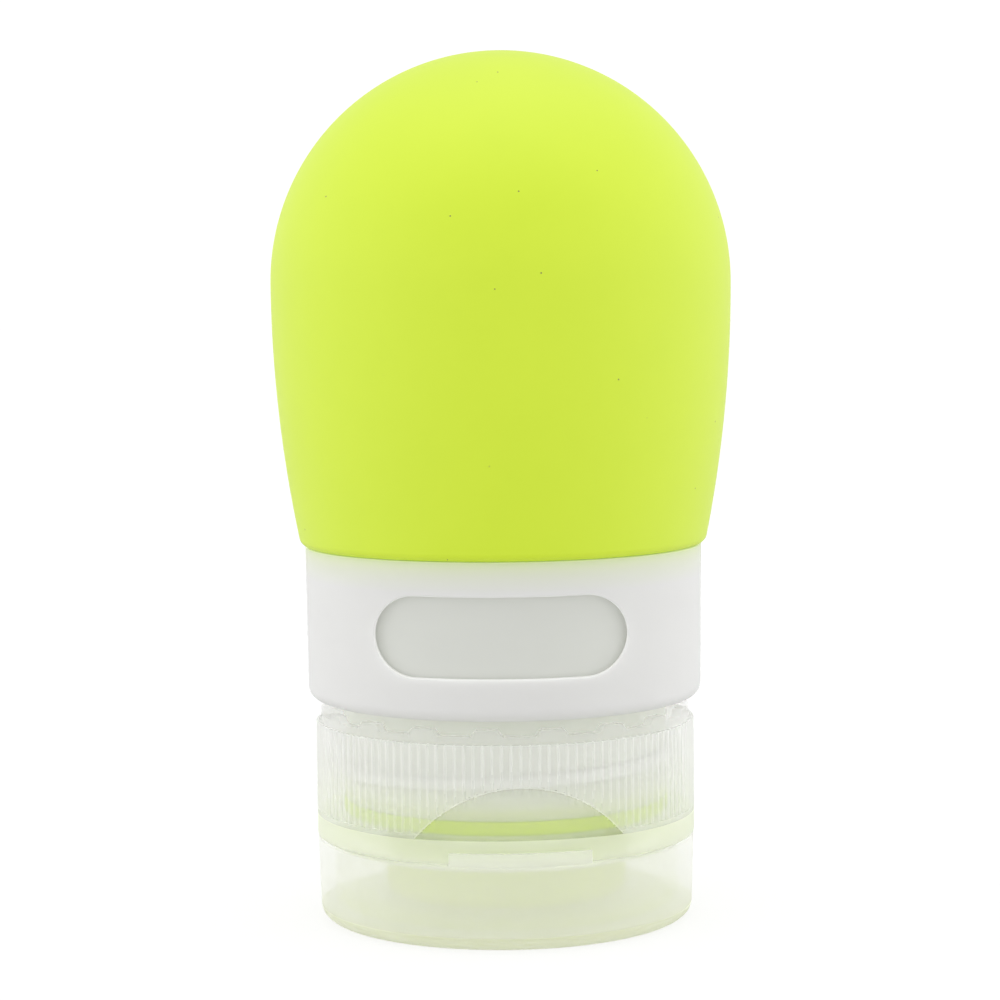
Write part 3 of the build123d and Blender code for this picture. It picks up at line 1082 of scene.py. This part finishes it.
@dataclass
class WindowCollar(Part):
    """The white ring that turns round the dial, with its obround window."""

    columns: int = 288
    draft: float = 0.13 * MM
    wall: float = 0.8 * MM
    bottom_round: float = 1.2 * MM
    top_round: float = 0.12 * MM
    round_steps: int = 10
    lip_thickness: float = 0.9 * MM
    lip_radius: float = 15.3 * MM
    groove_reach: float = 0.3 * MM
    groove_height: float = 0.6 * MM
    groove_drop: float = 1.5 * MM
    groove_play: float = 0.15 * MM
    window_width: float = 22.0 * MM
    window_height: float = 7.1 * MM
    window_lift: float = 0.37 * MM
    window_turn: float = -5.5
    window_round: float = 0.22 * MM
    window_steps: int = 5
    patch_margin: float = 1.6 * MM
    patch_shares: tuple[float, ...] = (0.35, 0.7, 1.0)
    row_step: float = 0.6 * MM
    edge_depth: float = 0.1 * MM
    sharp_over: float = 40.0

    def __post_init__(self) -> None:
        """Works out the window's place, and starts the mesh."""
        low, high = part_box("window_collar")
        self.bottom, self.top, self.radius = low.z, high.z, high.y
        self.middle = (low.z + high.z) / 2 + self.window_lift
        self.half_rise = self.window_height / 2 + self.patch_margin
        self.facing = FRONT + math.radians(self.window_turn)
        self.shell = Shell()

    def build(self) -> Piece:
        """Builds the piece.

        Returns:
            The piece, riding on its body.
        """
        step = TURN / self.columns
        reach = round(math.asin((self.window_width / 2 + self.patch_margin) / self.radius) / step)
        turns = [self.facing + (k - reach) * step for k in range(self.columns)]
        outline = self.outline()
        rows = [self.shell.row([around(r, t, z) for t in turns]) for r, z in outline]
        heights = [z for _, z in outline]
        top = heights.index(max(heights))
        holes: tuple[list[int], list[int]] = ([], [])
        for k, row in enumerate(rows):
            following = rows[(k + 1) % len(rows)]
            level = (heights[k] + heights[(k + 1) % len(rows)]) / 2
            cut = k < len(rows) - 1 and abs(level - self.middle) < self.half_rise
            if cut:
                holes[int(k >= top)].append(k)
            for c in range(2 * reach if cut else 0, self.columns):
                d = (c + 1) % self.columns
                self.shell.faces.append((row[c], row[d], following[d], following[c]))
        outer, inner = (self.border(rows[hole[0] : hole[-1] + 2], 2 * reach) for hole in holes)
        self.lining(self.patch(outer, self.window_round), self.patch(inner, 0.0))
        mesh = tidy(self.shell.mesh("window_collar"), self.sharp_over)
        dressed(mesh, self.finishes.white, self.finishes.white_edge)
        # The window's wall and the ring's top take the lighter, glowing copy: painted light against the
        # shade in the window and under the bulb's foot.
        for face in mesh.polygons:
            depth = self.radius - math.hypot(face.center.x, face.center.y)
            in_wall = self.edge_depth < depth < self.wall - self.edge_depth / 2
            in_window = abs(face.center.z - self.middle) < self.window_height / 2 + self.window_round
            on_top = face.center.z > self.top - self.edge_depth
            face.material_index = int(on_top or (in_wall and in_window))
        made = piece("window_collar_ring", mesh)
        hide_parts("window_collar")
        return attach(made, "collar")

    def outline(self) -> list[Point]:
        """Draws the ring: the outside from the lip up to the top, and the inside down past the snap groove.

        Returns:
            The outline's points, with some at the heights between which the wall is open.
        """
        bore, groove = self.radius - self.wall, self.top - self.groove_drop
        corners = [
            Corner(self.lip_radius, self.bottom),
            Corner(self.radius - self.draft, self.bottom, self.bottom_round),
            Corner(self.radius, self.top, self.top_round),
            Corner(bore, self.top),
            Corner(bore, groove + self.groove_height + self.groove_play),
            Corner(bore + self.groove_reach, groove + self.groove_height),
            Corner(bore + self.groove_reach, groove),
            Corner(bore, groove - self.groove_play),
            Corner(bore, self.bottom + self.lip_thickness),
            Corner(self.lip_radius, self.bottom + self.lip_thickness),
        ]
        points = spaced(rounded(corners, self.round_steps), self.row_step)
        result = points[:1]
        for a, b in zip(points, points[1:]):
            for level in (self.middle - self.half_rise, self.middle + self.half_rise):
                if min(a[1], b[1]) + NEAR < level < max(a[1], b[1]) - NEAR:
                    share = (level - a[1]) / (b[1] - a[1])
                    result.append((a[0] + (b[0] - a[0]) * share, level))
            result.append(b)
        return result

    def border(self, rows: list[list[int]], last: int) -> list[int]:
        """The points round a square opening, from its lower left corner.

        Args:
            rows: The rows of points across it.
            last: The column at which it ends.

        Returns:
            The points' numbers.
        """
        if self.shell.points[rows[0][0]][2] > self.middle:
            rows = rows[::-1]
        sides = [row[last] for row in rows[:-1]], [row[0] for row in rows[:0:-1]]
        return rows[0][:last] + sides[0] + rows[-1][last:0:-1] + sides[1]

    def edge_point(self, u: float, v: float, grow: float) -> Point:
        """The point where a ray from the window's middle meets its edge.

        Args:
            u: How far the ray goes aside.
            v: How far it goes up.
            grow: The margin that the window is grown by.

        Returns:
            The point, in the plane that the window is drawn on.
        """
        half = self.window_height / 2 + grow
        straight = (self.window_width - self.window_height) / 2
        angle = math.atan2(v, u)
        cosine, sine = math.cos(angle), math.sin(angle)
        if abs(half * cosine) <= straight * abs(sine):
            scale = half / abs(sine)
        else:
            along = straight * abs(cosine)
            scale = along + math.sqrt(max(along**2 - straight**2 + half**2, 0.0))
        return scale * cosine, scale * sine

    def flat(self, point: int) -> Point:
        """A point's place in the plane that the window is drawn on, from the window's middle."""
        x, y, z = self.shell.points[point]
        return y * math.cos(self.facing) - x * math.sin(self.facing), z - self.middle

    def rolled(self, u: float, v: float, r: float) -> Spot:
        """A place in the window's plane, moved straight on to a radius of the collar."""
        return around(r, self.facing + math.asin(u / r), self.middle + v)

    def patch(self, border: list[int], soften: float) -> list[int]:
        """Makes the faces from a square opening's border in to the window's softened edge.

        Args:
            border: The points of the border.
            soften: The radius of the window's rounded edge, or 0 for a sharp one.

        Returns:
            The last row of points.
        """
        flat = [self.flat(p) for p in border]
        depth = [math.hypot(*self.shell.points[p][:2]) for p in border]
        level = sum(depth) / len(depth)
        rings = [border]
        for share in self.patch_shares:
            spots = []
            for (u, v), r in zip(flat, depth):
                eu, ev = self.edge_point(u, v, soften)
                aside, up = u + (eu - u) * share, v + (ev - v) * share
                spots.append(self.rolled(aside, up, r + (level - r) * share))
            rings.append(self.shell.row(spots))
        for k in range(1, self.window_steps + 1) if soften else ():
            tilt = TURN / 4 * k / self.window_steps
            grow, radius = soften * (1 - math.sin(tilt)), level - soften * (1 - math.cos(tilt))
            spots = [self.rolled(*self.edge_point(u, v, grow), radius) for u, v in flat]
            rings.append(self.shell.row(spots))
        self.shell.join_all(rings)
        return rings[-1]

    def lining(self, outer: list[int], inner: list[int]) -> None:
        """Makes the faces through the wall between the window's two edges, which have different counts.

        Args:
            outer: The points of the edge outside.
            inner: The points of the edge inside.
        """
        level = math.hypot(*self.shell.points[inner[0]][:2])
        ring = self.shell.row([self.rolled(*self.flat(p), level) for p in outer])
        self.shell.join(outer, ring)
        gap = self.shell.gap
        start = min(range(len(inner)), key=lambda k: gap(inner[k], ring[0]))
        other = inner[start:] + inner[:start]
        i = j = 0
        while i < len(ring) or j < len(other):
            a, b = ring[i % len(ring)], other[j % len(other)]
            next_a, next_b = ring[(i + 1) % len(ring)], other[(j + 1) % len(other)]
            if j >= len(other) or (i < len(ring) and gap(next_a, b) <= gap(next_b, a)):
                self.shell.faces.append((a, next_a, b))
                i += 1
            else:
                self.shell.faces.append((a, next_b, b))
                j += 1


@dataclass(frozen=True)
class ThumbDip:
    """The leaning drum that shapes the dip in the cap's front and the back of the lid's thumb lip."""

    cap_radius: float
    foot: float
    depth: float = 0.95 * MM
    width: float = 22.2 * MM
    height: float = 7.6 * MM
    side_sine: float = -0.5

    @property
    def front(self) -> float:
        """How far in front of the axis the drum reaches at the cap's foot."""
        return self.cap_radius - self.depth

    @property
    def radius(self) -> float:
        """The drum's radius, from how much it falls back between its front and the dip's ends."""
        sag = self.front - math.sqrt(self.cap_radius**2 - (self.width / 2) ** 2)
        return ((self.width / 2) ** 2 + sag**2) / (2 * sag)

    def reach(self, turn: float, z: float, gap: float = 0.0) -> float:
        """How far the drum reaches from the axis, in a direction and at a height.

        Args:
            turn: The direction, as an angle from +X.
            z: The height.
            gap: How far the drum is moved forward.

        Returns:
            The distance from the axis, or a very long one on the sides that the dip doesn't touch.
        """
        if math.sin(turn) > self.side_sine:
            return FAR
        lean = self.depth / self.height
        stretch = math.sqrt(1 + lean**2)
        middle = self.radius * stretch - self.front - gap - (z - self.foot) * lean
        a = math.cos(turn) ** 2 + (math.sin(turn) / stretch) ** 2
        b = -2 * math.sin(turn) * middle / stretch**2
        c = (middle / stretch) ** 2 - self.radius**2
        return (-b + math.sqrt(b * b - 4 * a * c)) / (2 * a)


@dataclass(frozen=True)
class HingeLeaf:
    """The small block at the back of the cap or of the lid that the hinge film grows from."""

    width: float = 12.0 * MM
    height: float = 1.1 * MM
    length: float = 1.45 * MM
    soften: float = 0.15 * MM
    segments: int = 3

    def mesh(self, name: str, back: float, low: float, material: Material) -> Mesh:
        """Builds the block.

        Args:
            name: The mesh's name.
            back: How far back it reaches.
            low: Its lowest height.
            material: Its material.

        Returns:
            The mesh, with softened edges.
        """
        size = Vector((self.width, self.length, self.height))
        middle = Vector((0.0, back - self.length / 2, low + self.height / 2))
        work = bmesh.new()
        bmesh.ops.create_cube(work, size=1.0, matrix=Matrix.LocRotScale(middle, None, size))
        shape = {"offset": self.soften, "segments": self.segments, "profile": 0.5, "affect": "EDGES"}
        bmesh.ops.bevel(work, geom=work.edges[:], **shape)
        made = bpy.data.meshes.new(name)
        work.to_mesh(made)
        work.free()
        return tidy(dressed(made, material))


@dataclass
class ScrewCap(Part):
    """The ribbed cap: skirt, toothed rim, deck, spigot, boss, inner thread and hinge leaf."""

    thread: Thread
    rib_count: int = 130
    rib_depth: float = 0.18 * MM
    rib_foot_share: float = 0.19
    rib_crest_share: float = 0.08
    rib_lead: float = 2.55 * MM
    rib_step: float = 0.25 * MM
    rim_height: float = 1.3 * MM
    rim_wall: float = 0.87 * MM
    rim_round: float = 0.15 * MM
    rim_step: float = 0.11 * MM
    slot_count: int = 18
    slot_depth: float = 0.62 * MM
    slot_floor: float = 3.0 * MM
    slot_mouth: float = 3.9 * MM
    slot_spans: int = 5
    wall: float = 1.33 * MM
    deck: float = 2.1 * MM
    height: float = 11.85 * MM
    edge_round: float = 0.25 * MM
    spigot_radius: float = 15.69 * MM
    spigot_wall: float = 1.2 * MM
    spigot_height: float = 0.9 * MM
    boss_radius: float = 11.05 * MM
    boss_round: float = 0.5 * MM
    boss_end: float = 1.55 * MM
    pocket_radius: float = 9.3 * MM
    outlet_radius: float = 5.0 * MM
    catch_drop: float = 1.9 * MM
    catch_height: float = 0.4 * MM
    catch_reach: float = 0.4 * MM
    deck_round: float = 0.3 * MM
    foot_round: float = 0.2 * MM
    small_round: float = 0.15 * MM
    catch_round: float = 0.1 * MM
    leaf_lift: float = 0.175 * MM
    # A thin bright bead along the dip's cut edge: a painted highlight.
    glint_bead_radius: float = 0.06 * MM
    glint_bead_sides: int = 6
    cut_points: int = 96
    cut_halvings: int = 24
    ledge: float = 0.02 * MM
    outer_step: float = 0.4 * MM
    inner_step: float = 1.2 * MM
    round_steps: int = 4
    rim_steps: int = 3
    column_shares: tuple[float, ...] = (0.0, 0.08, 0.19, 0.34, 0.5, 0.66, 0.81, 0.92)
    coarse_share: int = 4
    sharp_over: float = 35.0

    def __post_init__(self) -> None:
        """Works out the cap's main measures from the box of the solid."""
        low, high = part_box("screw_cap")
        self.boss_low, self.top, self.radius, self.back = low.z, high.z, high.x, high.y
        self.foot = self.top - self.height
        self.bore = self.radius - self.wall
        self.rib_low, self.rib_top = self.foot + self.rib_lead, self.top - self.rim_height
        self.dip = ThumbDip(self.radius, self.foot)

    def build(self) -> Piece:
        """Builds the piece.

        Returns:
            The piece, riding on its body.
        """
        frosted = self.finishes.frosted
        inner = self.thread.ridge(frosted, self.bore, inner=True)
        leaf = HingeLeaf().mesh("cap_leaf", self.back, self.foot + self.leaf_lift, frosted)
        whole = joined("screw_cap", self.relief(), inner, self.glint_bead(), leaf)
        made = piece("screw_cap_ribbed", whole)
        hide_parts("screw_cap")
        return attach(made, "cap")

    def skirt(self) -> Mesh:
        """Builds the plain cap before its ribs and slots.

        Returns:
            The mesh, with the limits that ribs and slots keep to stored on its points.
        """
        shares = [k + share for k in range(self.rib_count) for share in self.column_shares]
        fine = [TURN * share / self.rib_count + FRONT for share in shares]
        coarse = fine[:: self.coarse_share]
        shell = Shell()
        rows = []
        for r, z in self.outside():
            limits = [self.dip.reach(t, z) for t in fine]
            spots = [around(min(r, limit), t, z) for t, limit in zip(fine, limits)]
            high_enough = self.rib_low - TINY <= z <= self.rib_top + TINY
            ribbed = float(high_enough and r > self.radius - self.rib_depth - TINY)
            rim = max(0.0, (z - (self.top - self.slot_depth)) / self.slot_depth)
            rows.append(shell.row(spots, ribbed=ribbed, reach=limits, rim=rim))
        for r, z in self.inside():
            rows.append(shell.row([around(r, t, z) for t in coarse], ribbed=0.0, reach=FAR, rim=0.0))
        shell.join_all(rows, closed=True)
        return shell.mesh("cap_skirt")

    def outside(self) -> list[Point]:
        """Draws rows from the foot's face out, up the skirt, over the rim and just into the bore.

        Returns:
            The rows, as radius and height.
        """
        rim, base = self.bore + self.rim_wall, self.radius - self.rib_depth
        corners = [
            Corner(self.bore, self.foot),
            Corner(self.radius, self.foot, self.edge_round),
            Corner(self.radius, self.foot + self.deck),
            Corner(self.radius, self.rib_low),
        ]
        rows = spaced(rounded(corners, self.round_steps)[1:], self.outer_step)[:-1]
        rows += [(self.radius, self.rib_low - self.ledge), (base, self.rib_low)]
        rise = self.rib_top - self.rib_low
        count = math.ceil(rise / self.rib_step)
        rows += [(base, self.rib_low + rise * k / count) for k in range(1, count)]
        rows += [(base, self.rib_top - self.ledge), (base, self.rib_top), (rim, self.rib_top)]
        corners = [
            Corner(rim, self.rib_top),
            Corner(rim, self.top, self.rim_round),
            Corner(self.bore, self.top),
        ]
        rows += spaced(rounded(corners, self.rim_steps)[1:], self.rim_step)
        depths = [self.slot_depth * k / self.slot_spans for k in range(1, self.slot_spans + 1)]
        depths.append(self.slot_depth + self.rim_round)
        return rows + [(self.bore, self.top - depth) for depth in depths]

    def inside(self) -> list[Point]:
        """Draws rows from the bore down to the deck, through the boss and back out along the cap's foot.

        Returns:
            The rows, as radius and height.
        """
        deck, end = self.foot + self.deck, self.boss_low + self.boss_end
        catch, catch_low = deck - self.catch_drop, deck - self.catch_drop - self.catch_height
        catch_radius = self.pocket_radius - self.catch_reach
        spigot_bore = self.spigot_radius - self.spigot_wall
        spigot_low = self.foot - self.spigot_height
        corners = [
            Corner(self.bore, self.rib_top),
            Corner(self.bore, deck, self.deck_round),
            Corner(self.pocket_radius, deck, self.small_round),
            Corner(self.pocket_radius, catch),
            Corner(catch_radius, catch, self.catch_round),
            Corner(catch_radius, catch_low, self.catch_round),
            Corner(self.pocket_radius, catch_low),
            Corner(self.pocket_radius, end),
            Corner(self.outlet_radius, end, self.small_round),
            Corner(self.outlet_radius, self.boss_low, self.foot_round),
            Corner(self.boss_radius, self.boss_low, self.boss_round),
            Corner(self.boss_radius, self.foot, self.foot_round),
            Corner(spigot_bore, self.foot),
            Corner(spigot_bore, spigot_low, self.small_round),
            Corner(self.spigot_radius, spigot_low, self.small_round),
            Corner(self.spigot_radius, self.foot),
        ]
        return spaced(rounded(corners, self.round_steps), self.inner_step)

    def relief(self) -> Mesh:
        """Raises the ribs round the skirt, cuts the slots into the rim and gives each part its finish, with
        a painted highlight on the rib crests and painted green light on the deck and the boss.

        Returns:
            The cap's mesh.
        """
        recipe = Recipe("cap_ribs_and_slots")
        level = recipe.size("Deck height", self.foot + self.deck)
        root = recipe.size("Root radius", self.radius - self.rib_depth)
        boss_level = recipe.size("Boss height", self.foot - self.edge_round)
        boss_radius = recipe.size("Boss radius", self.boss_radius + self.edge_round)
        ribs = recipe.size("Rib count", self.rib_count)
        rib_depth = recipe.size("Rib depth", self.rib_depth)
        rib_foot = recipe.size("Rib foot share", self.rib_foot_share)
        rib_crest = recipe.size("Rib crest share", self.rib_crest_share)
        slots = recipe.size("Slot count", self.slot_count)
        slot_depth = recipe.size("Slot depth", self.slot_depth)
        slot_floor = recipe.size("Slot floor width", self.slot_floor)
        slot_mouth = recipe.size("Slot mouth width", self.slot_mouth)
        rim = recipe.size("Rim radius", self.bore + self.rim_wall)
        limit = recipe.attribute("reach")
        x, y, z = recipe.place()
        radius = (x * x + y * y).math("SQRT")
        turn = x.math("ARCTAN2", -y) / TURN
        from_rib = (turn * ribs).math("WRAP", 0.5, -0.5).math("ABSOLUTE")
        swell = ((rib_foot - from_rib) / (rib_foot - rib_crest)).clamp()
        grown = (radius + recipe.attribute("ribbed") * swell * rib_depth).math("MINIMUM", limit)
        raised = (grown - radius) / rib_depth
        scale = grown / radius
        aside = (turn * slots).math("WRAP", 0.5, -0.5).math("ABSOLUTE") / slots * TURN * rim
        flank = ((slot_mouth / 2.0 - aside) / (slot_mouth / 2.0 - slot_floor / 2.0)).clamp()
        sunk = z - slot_depth * flank * recipe.attribute("rim").clamp()
        half_depth = rib_depth / 2.0
        uncut = (limit - root - half_depth).math("MINIMUM", radius - root + half_depth)
        in_boss = (boss_level - z).math("MINIMUM", boss_radius - radius)
        finishes = self.finishes
        # Each finish goes on the faces where its number is over 0, and later ones lie over earlier ones.
        recipe.finish(
            recipe.move(recipe.geometry, x * scale, y * scale, sunk),
            finishes.frosted,
            (uncut / MM, finishes.haze),
            # The rib crests take the whiter copy: a painted highlight.
            (raised - 0.5, finishes.frosted_edge),
            # The deck takes painted green light.
            ((level - z) / MM, finishes.deck),
            # The boss takes painted green light.
            (in_boss / MM, finishes.boss),
        )
        return tidy(recipe.run(self.skirt()), self.sharp_over)

    def glint_bead(self) -> Mesh:
        """Draws a thin bright bead along the arch where the dip cuts through the ribs: a painted highlight
        for the glint on that real edge.

        Returns:
            The bead's mesh.
        """
        wall = self.radius - self.rib_depth / 2
        half = math.asin(self.dip.width / 2 / self.radius)
        spots = []
        for turn in np.linspace(-half, half, self.cut_points) + FRONT:
            low, high = self.foot + self.deck, self.foot + 2 * self.dip.height
            if self.dip.reach(turn, low) > wall:
                continue
            for _ in range(self.cut_halvings):
                z = (low + high) / 2
                low, high = (z, high) if self.dip.reach(turn, z) < wall else (low, z)
            spots.append(around(wall, turn, low))
        path = bpy.data.meshes.new("cut_path")
        path.from_pydata(spots, [(k, k + 1) for k in range(len(spots) - 1)], [])
        recipe = Recipe("cut_burr")
        circle = {"Resolution": self.glint_bead_sides, "Radius": recipe.size("Burr radius", self.glint_bead_radius)}
        curve = recipe.node("GeometryNodeMeshToCurve", {"Mesh": recipe.geometry})[0]
        ring = recipe.node("GeometryNodeCurvePrimitiveCircle", circle)[0]
        inputs = {"Curve": curve, "Profile Curve": ring, "Fill Caps": True}
        recipe.finish(recipe.node("GeometryNodeCurveToMesh", inputs)[0], self.finishes.frosted_edge)
        return tidy(recipe.run(path))


@dataclass
class FlipLid(Part):
    """The round lid with its plug ring, thumb lip and hinge leaf."""

    columns: int = 256
    height: float = 7.6 * MM
    draft: float = 0.24 * MM
    bottom_round: float = 1.25 * MM
    wall: float = 1.5 * MM
    floor: float = 1.5 * MM
    inner_round: float = 0.9 * MM
    edge_round: float = 0.25 * MM
    rim_round: float = 0.1 * MM
    plug_radius: float = 4.3 * MM
    plug_wall: float = 1.0 * MM
    plug_height: float = 1.95 * MM
    plug_round: float = 0.35 * MM
    small_round: float = 0.15 * MM
    round_steps: int = 8
    longest: float = 1.5 * MM
    sharp_over: float = 35.0
    tab_width: float = 12.6 * MM
    tab_gap: float = 0.12 * MM
    tab_setback: float = 0.06 * MM
    tab_least: float = 0.05 * MM
    tab_columns: int = 44
    tab_rows: int = 8
    seam_gap: float = 0.05 * MM
    lid_setback: float = 0.04 * MM
    floor_band: float = 0.1 * MM

    def build(self) -> Piece:
        """Builds the piece.

        Returns:
            The piece, riding on its body.
        """
        low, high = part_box("flip_lid")
        bore, plug_bore = high.x - self.wall, self.plug_radius - self.plug_wall
        plug_top = self.floor + self.plug_height
        corners = [
            Corner(0.0, low.z),
            Corner(high.x - self.draft, low.z, self.bottom_round),
            Corner(high.x, self.height, self.edge_round),
            Corner(bore, self.height, self.rim_round),
            Corner(bore, self.floor, self.inner_round),
            Corner(self.plug_radius, self.floor, self.small_round),
            Corner(self.plug_radius, plug_top, self.plug_round),
            Corner(plug_bore, plug_top, self.small_round),
            Corner(plug_bore, self.floor, self.small_round),
            Corner(0.0, self.floor),
        ]
        spans = self.round_steps, self.longest
        bowl = turned("lid_bowl", corners, self.columns, *spans, closed=False, sharp_over=self.sharp_over)
        dressed(bowl, self.finishes.lid, self.finishes.lid_floor_painted_green)
        # The floor takes the painted green light.
        for face in bowl.polygons:
            face.material_index = int(face.center.z < self.floor + self.floor_band)
        leaf = HingeLeaf()
        block = leaf.mesh("lid_leaf", high.y, self.height - leaf.height, self.finishes.lid)
        whole = joined("flip_lid", bowl, self.tab(high.x, high.z), block)
        made = piece("flip_lid_bowl", whole)
        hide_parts("flip_lid")
        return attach(made, "lid")

    def tab(self, radius: float, top: float) -> Mesh:
        """Builds the thumb lip: a crescent on the rim, whose back follows the dip.

        Args:
            radius: The lid's radius.
            top: The height of the lip's top.

        Returns:
            The lip's mesh.
        """
        dip = ThumbDip(radius + self.lid_setback, self.height + self.seam_gap)
        outer = radius - self.tab_setback
        half = math.asin(self.tab_width / 2 / outer)
        shell = Shell()
        rings = []
        for turn in np.linspace(FRONT - half, FRONT + half, self.tab_columns + 1):
            heights = np.linspace(self.height - self.edge_round, top, self.tab_rows + 1)
            backs = [min(dip.reach(turn, z, self.tab_gap), outer - self.tab_least) for z in heights]
            front = [around(outer, turn, z) for z in heights]
            rings.append(shell.row(front + [around(r, turn, z) for r, z in zip(backs, heights)][::-1]))
        shell.join_all(rings)
        shell.cap(rings[0])
        shell.cap(rings[-1])
        return tidy(dressed(shell.mesh("lid_tab"), self.finishes.lid))


@dataclass
class HingeFilm(Part):
    """The thin film that joins the cap's leaf to the lid's."""

    inner_radius: float = 0.22 * MM
    thickness: float = 0.26 * MM
    tail: float = 0.35 * MM
    spans: int = 24
    slices: int = 24
    sharp_over: float = 45.0

    def half(self, radius: float) -> list[Point]:
        """Draws one face of the film's section.

        Args:
            radius: The radius of its bend.

        Returns:
            Its points, seen along the hinge and from the pivot.
        """
        turns = np.linspace(-TURN / 4, TURN / 4, self.spans + 1)
        bend = [(radius * math.cos(t), radius * math.sin(t)) for t in turns]
        return [(-self.tail, -radius), *bend, (-self.tail, radius)]

    def build(self) -> Piece:
        """Builds the film.

        Returns:
            The piece, with its place baked into its mesh and riding on no body.
        """
        low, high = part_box("hinge_web")
        joint = next(j for j in frame["joints"] if j["name"] == "lid_flip")
        _, pivot_y, pivot_z = joint["pos_m"]
        section = self.half(self.inner_radius + self.thickness) + self.half(self.inner_radius)[::-1]
        shell = Shell()
        rows = []
        for x in np.linspace(low.x, high.x, self.slices + 1):
            rows.append(shell.row([(x, pivot_y + y, pivot_z + z) for y, z in section]))
        shell.join_all(rows)
        shell.cap(rows[0])
        shell.cap(rows[-1])
        mesh = dressed(tidy(shell.mesh("hinge_film"), self.sharp_over), self.finishes.frosted)
        made = piece("hinge_film", mesh)
        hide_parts("hinge_web")
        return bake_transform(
            made,
            "lid",
            "cap",
            start=(0, pivot_y, pivot_z - self.inner_radius),
            end=(0, pivot_y, pivot_z + self.inner_radius),
        )


@dataclass
class Valve(Part):
    """The slit valve and the ring that holds it, dressed as the model has them."""

    def build(self) -> None:
        """Gives both pieces their finish."""
        looks = {"slit_valve": self.finishes.clear, "valve_retainer": self.finishes.retainer}
        for node, material in looks.items():
            shown = frame["nodes"][node].data
            shown.materials.clear()
            shown.materials.append(material)


# Studio


@dataclass
class Studio:
    """A pale floor in even white light, and the camera at the photograph's place."""

    lens_pixels: float = 2900.0
    picture_pixels: float = 1000.0
    sensor: float = 36.0
    distance: float = 265.5 * MM
    side_turn: float = 4.4
    eye_height: float = 59.24 * MM
    pitch: float = -4.535
    roll: float = -0.588
    aim_shift: float = -0.055
    nearest: float = 0.01
    farthest: float = 50.0
    floor_size: float = 6.0
    floor_drop: float = 0.01 * MM
    floor_colour: Colour = (0.94, 0.94, 0.94)
    floor_roughness: float = 0.9
    floor_solid: float = 0.3
    light: float = 1.40
    front_dimming: float = 0.47
    front_start: float = 0.34
    top_dimming: float = 0.56
    bottom_dimming: float = 1.1
    zenith_start: float = 0.75
    zenith_glow: float = 0.65
    backdrop: float = 1.06
    clear_bounces: int = 48

    def build(self) -> None:
        """Makes the camera, the floor and the light."""
        self.camera()
        self.floor()
        self.world()
        scene = bpy.context.scene
        scene.view_settings.view_transform = "Standard"
        scene.cycles.transparent_max_bounces = self.clear_bounces

    def camera(self) -> None:
        """Stands the camera a little to the left of the front, level with the bulb."""
        turn = math.radians(self.side_turn)
        place = Vector(around(self.distance, FRONT - turn, self.eye_height))
        heading = turn + math.radians(self.aim_shift)
        pitch = math.radians(self.pitch)
        look = Vector(around(math.cos(pitch), TURN / 4 - heading, math.sin(pitch)))
        data = bpy.data.cameras.new("camera")
        data.sensor_width = self.sensor
        data.lens = self.lens_pixels / self.picture_pixels * self.sensor
        data.clip_start, data.clip_end = self.nearest, self.farthest
        camera = bpy.data.objects.new("camera", data)
        roll = Matrix.Rotation(math.radians(self.roll), 3, "Z")
        facing = look.to_track_quat("-Z", "Y").to_matrix() @ roll
        camera.matrix_world = Matrix.Translation(place) @ facing.to_4x4()
        bpy.context.scene.collection.objects.link(camera)
        bpy.context.scene.camera = camera

    def floor(self) -> None:
        """Lays a pale, nearly white floor."""
        half = self.floor_size / 2
        spots = [(x * half, y * half, -self.floor_drop) for x, y in ((-1, -1), (1, -1), (1, 1), (-1, 1))]
        mesh = bpy.data.meshes.new("floor")
        mesh.from_pydata(spots, [], [(0, 1, 2, 3)])
        material, tree, surface, _ = shader("studio_floor")
        inputs = {
            "Base Color": self.floor_colour,
            "Roughness": self.floor_roughness,
            "Specular IOR Level": 0.0,
            "Alpha": self.floor_solid,
        }
        feed(tree, surface, inputs)
        floor = bpy.data.objects.new("floor", dressed(mesh, material))
        bpy.context.scene.collection.objects.link(floor)

    def world(self) -> None:
        """Wraps the scene in white light: strongest at the sides, weaker in front, behind and below."""
        world = bpy.data.worlds.new("studio")
        bpy.context.scene.world = world
        world.use_nodes = True
        tree = world.node_tree
        back = next(n for n in tree.nodes if n.type == "BACKGROUND")
        ray = add_node(tree, "ShaderNodeTexCoord")["Generated"]
        parts = add_node(tree, "ShaderNodeSeparateXYZ", {0: ray})
        along, up = Term(tree, parts[1]).math("ABSOLUTE"), Term(tree, parts[2])
        front = ((along - self.front_start) / (1 - self.front_start)).clamp()
        upper, lower = up.clamp() * self.top_dimming, (-up).clamp() * self.bottom_dimming
        zenith = ((up - self.zenith_start) / (1 - self.zenith_start)).clamp() * self.zenith_glow
        glow = (zenith - (front * self.front_dimming + upper + lower) + self.light).math("MAXIMUM", 0.0)
        seen = Term(tree, add_node(tree, "ShaderNodeLightPath")["Is Camera Ray"])
        feed(tree, back, {"Strength": seen.blend(glow, self.backdrop), "Color": WHITE})


def main() -> None:
    """Builds the bottle in order, then the studio round it."""
    logging.basicConfig(level=logging.INFO, format="%(message)s")
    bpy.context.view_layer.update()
    finishes, thread = Finishes(), Thread()
    parts = [
        SqueezeBody(finishes),
        NeckRing(finishes, thread),
        ContentDial(finishes),
        WindowCollar(finishes),
        ScrewCap(finishes, thread),
        FlipLid(finishes),
        HingeFilm(finishes),
    ]
    for part in parts:
        made = part.build()
        log.info("%s: %d faces", made.name, len(made.data.polygons))
    Valve(finishes).build()
    Studio().build()


if __name__ == "__main__":
    main()
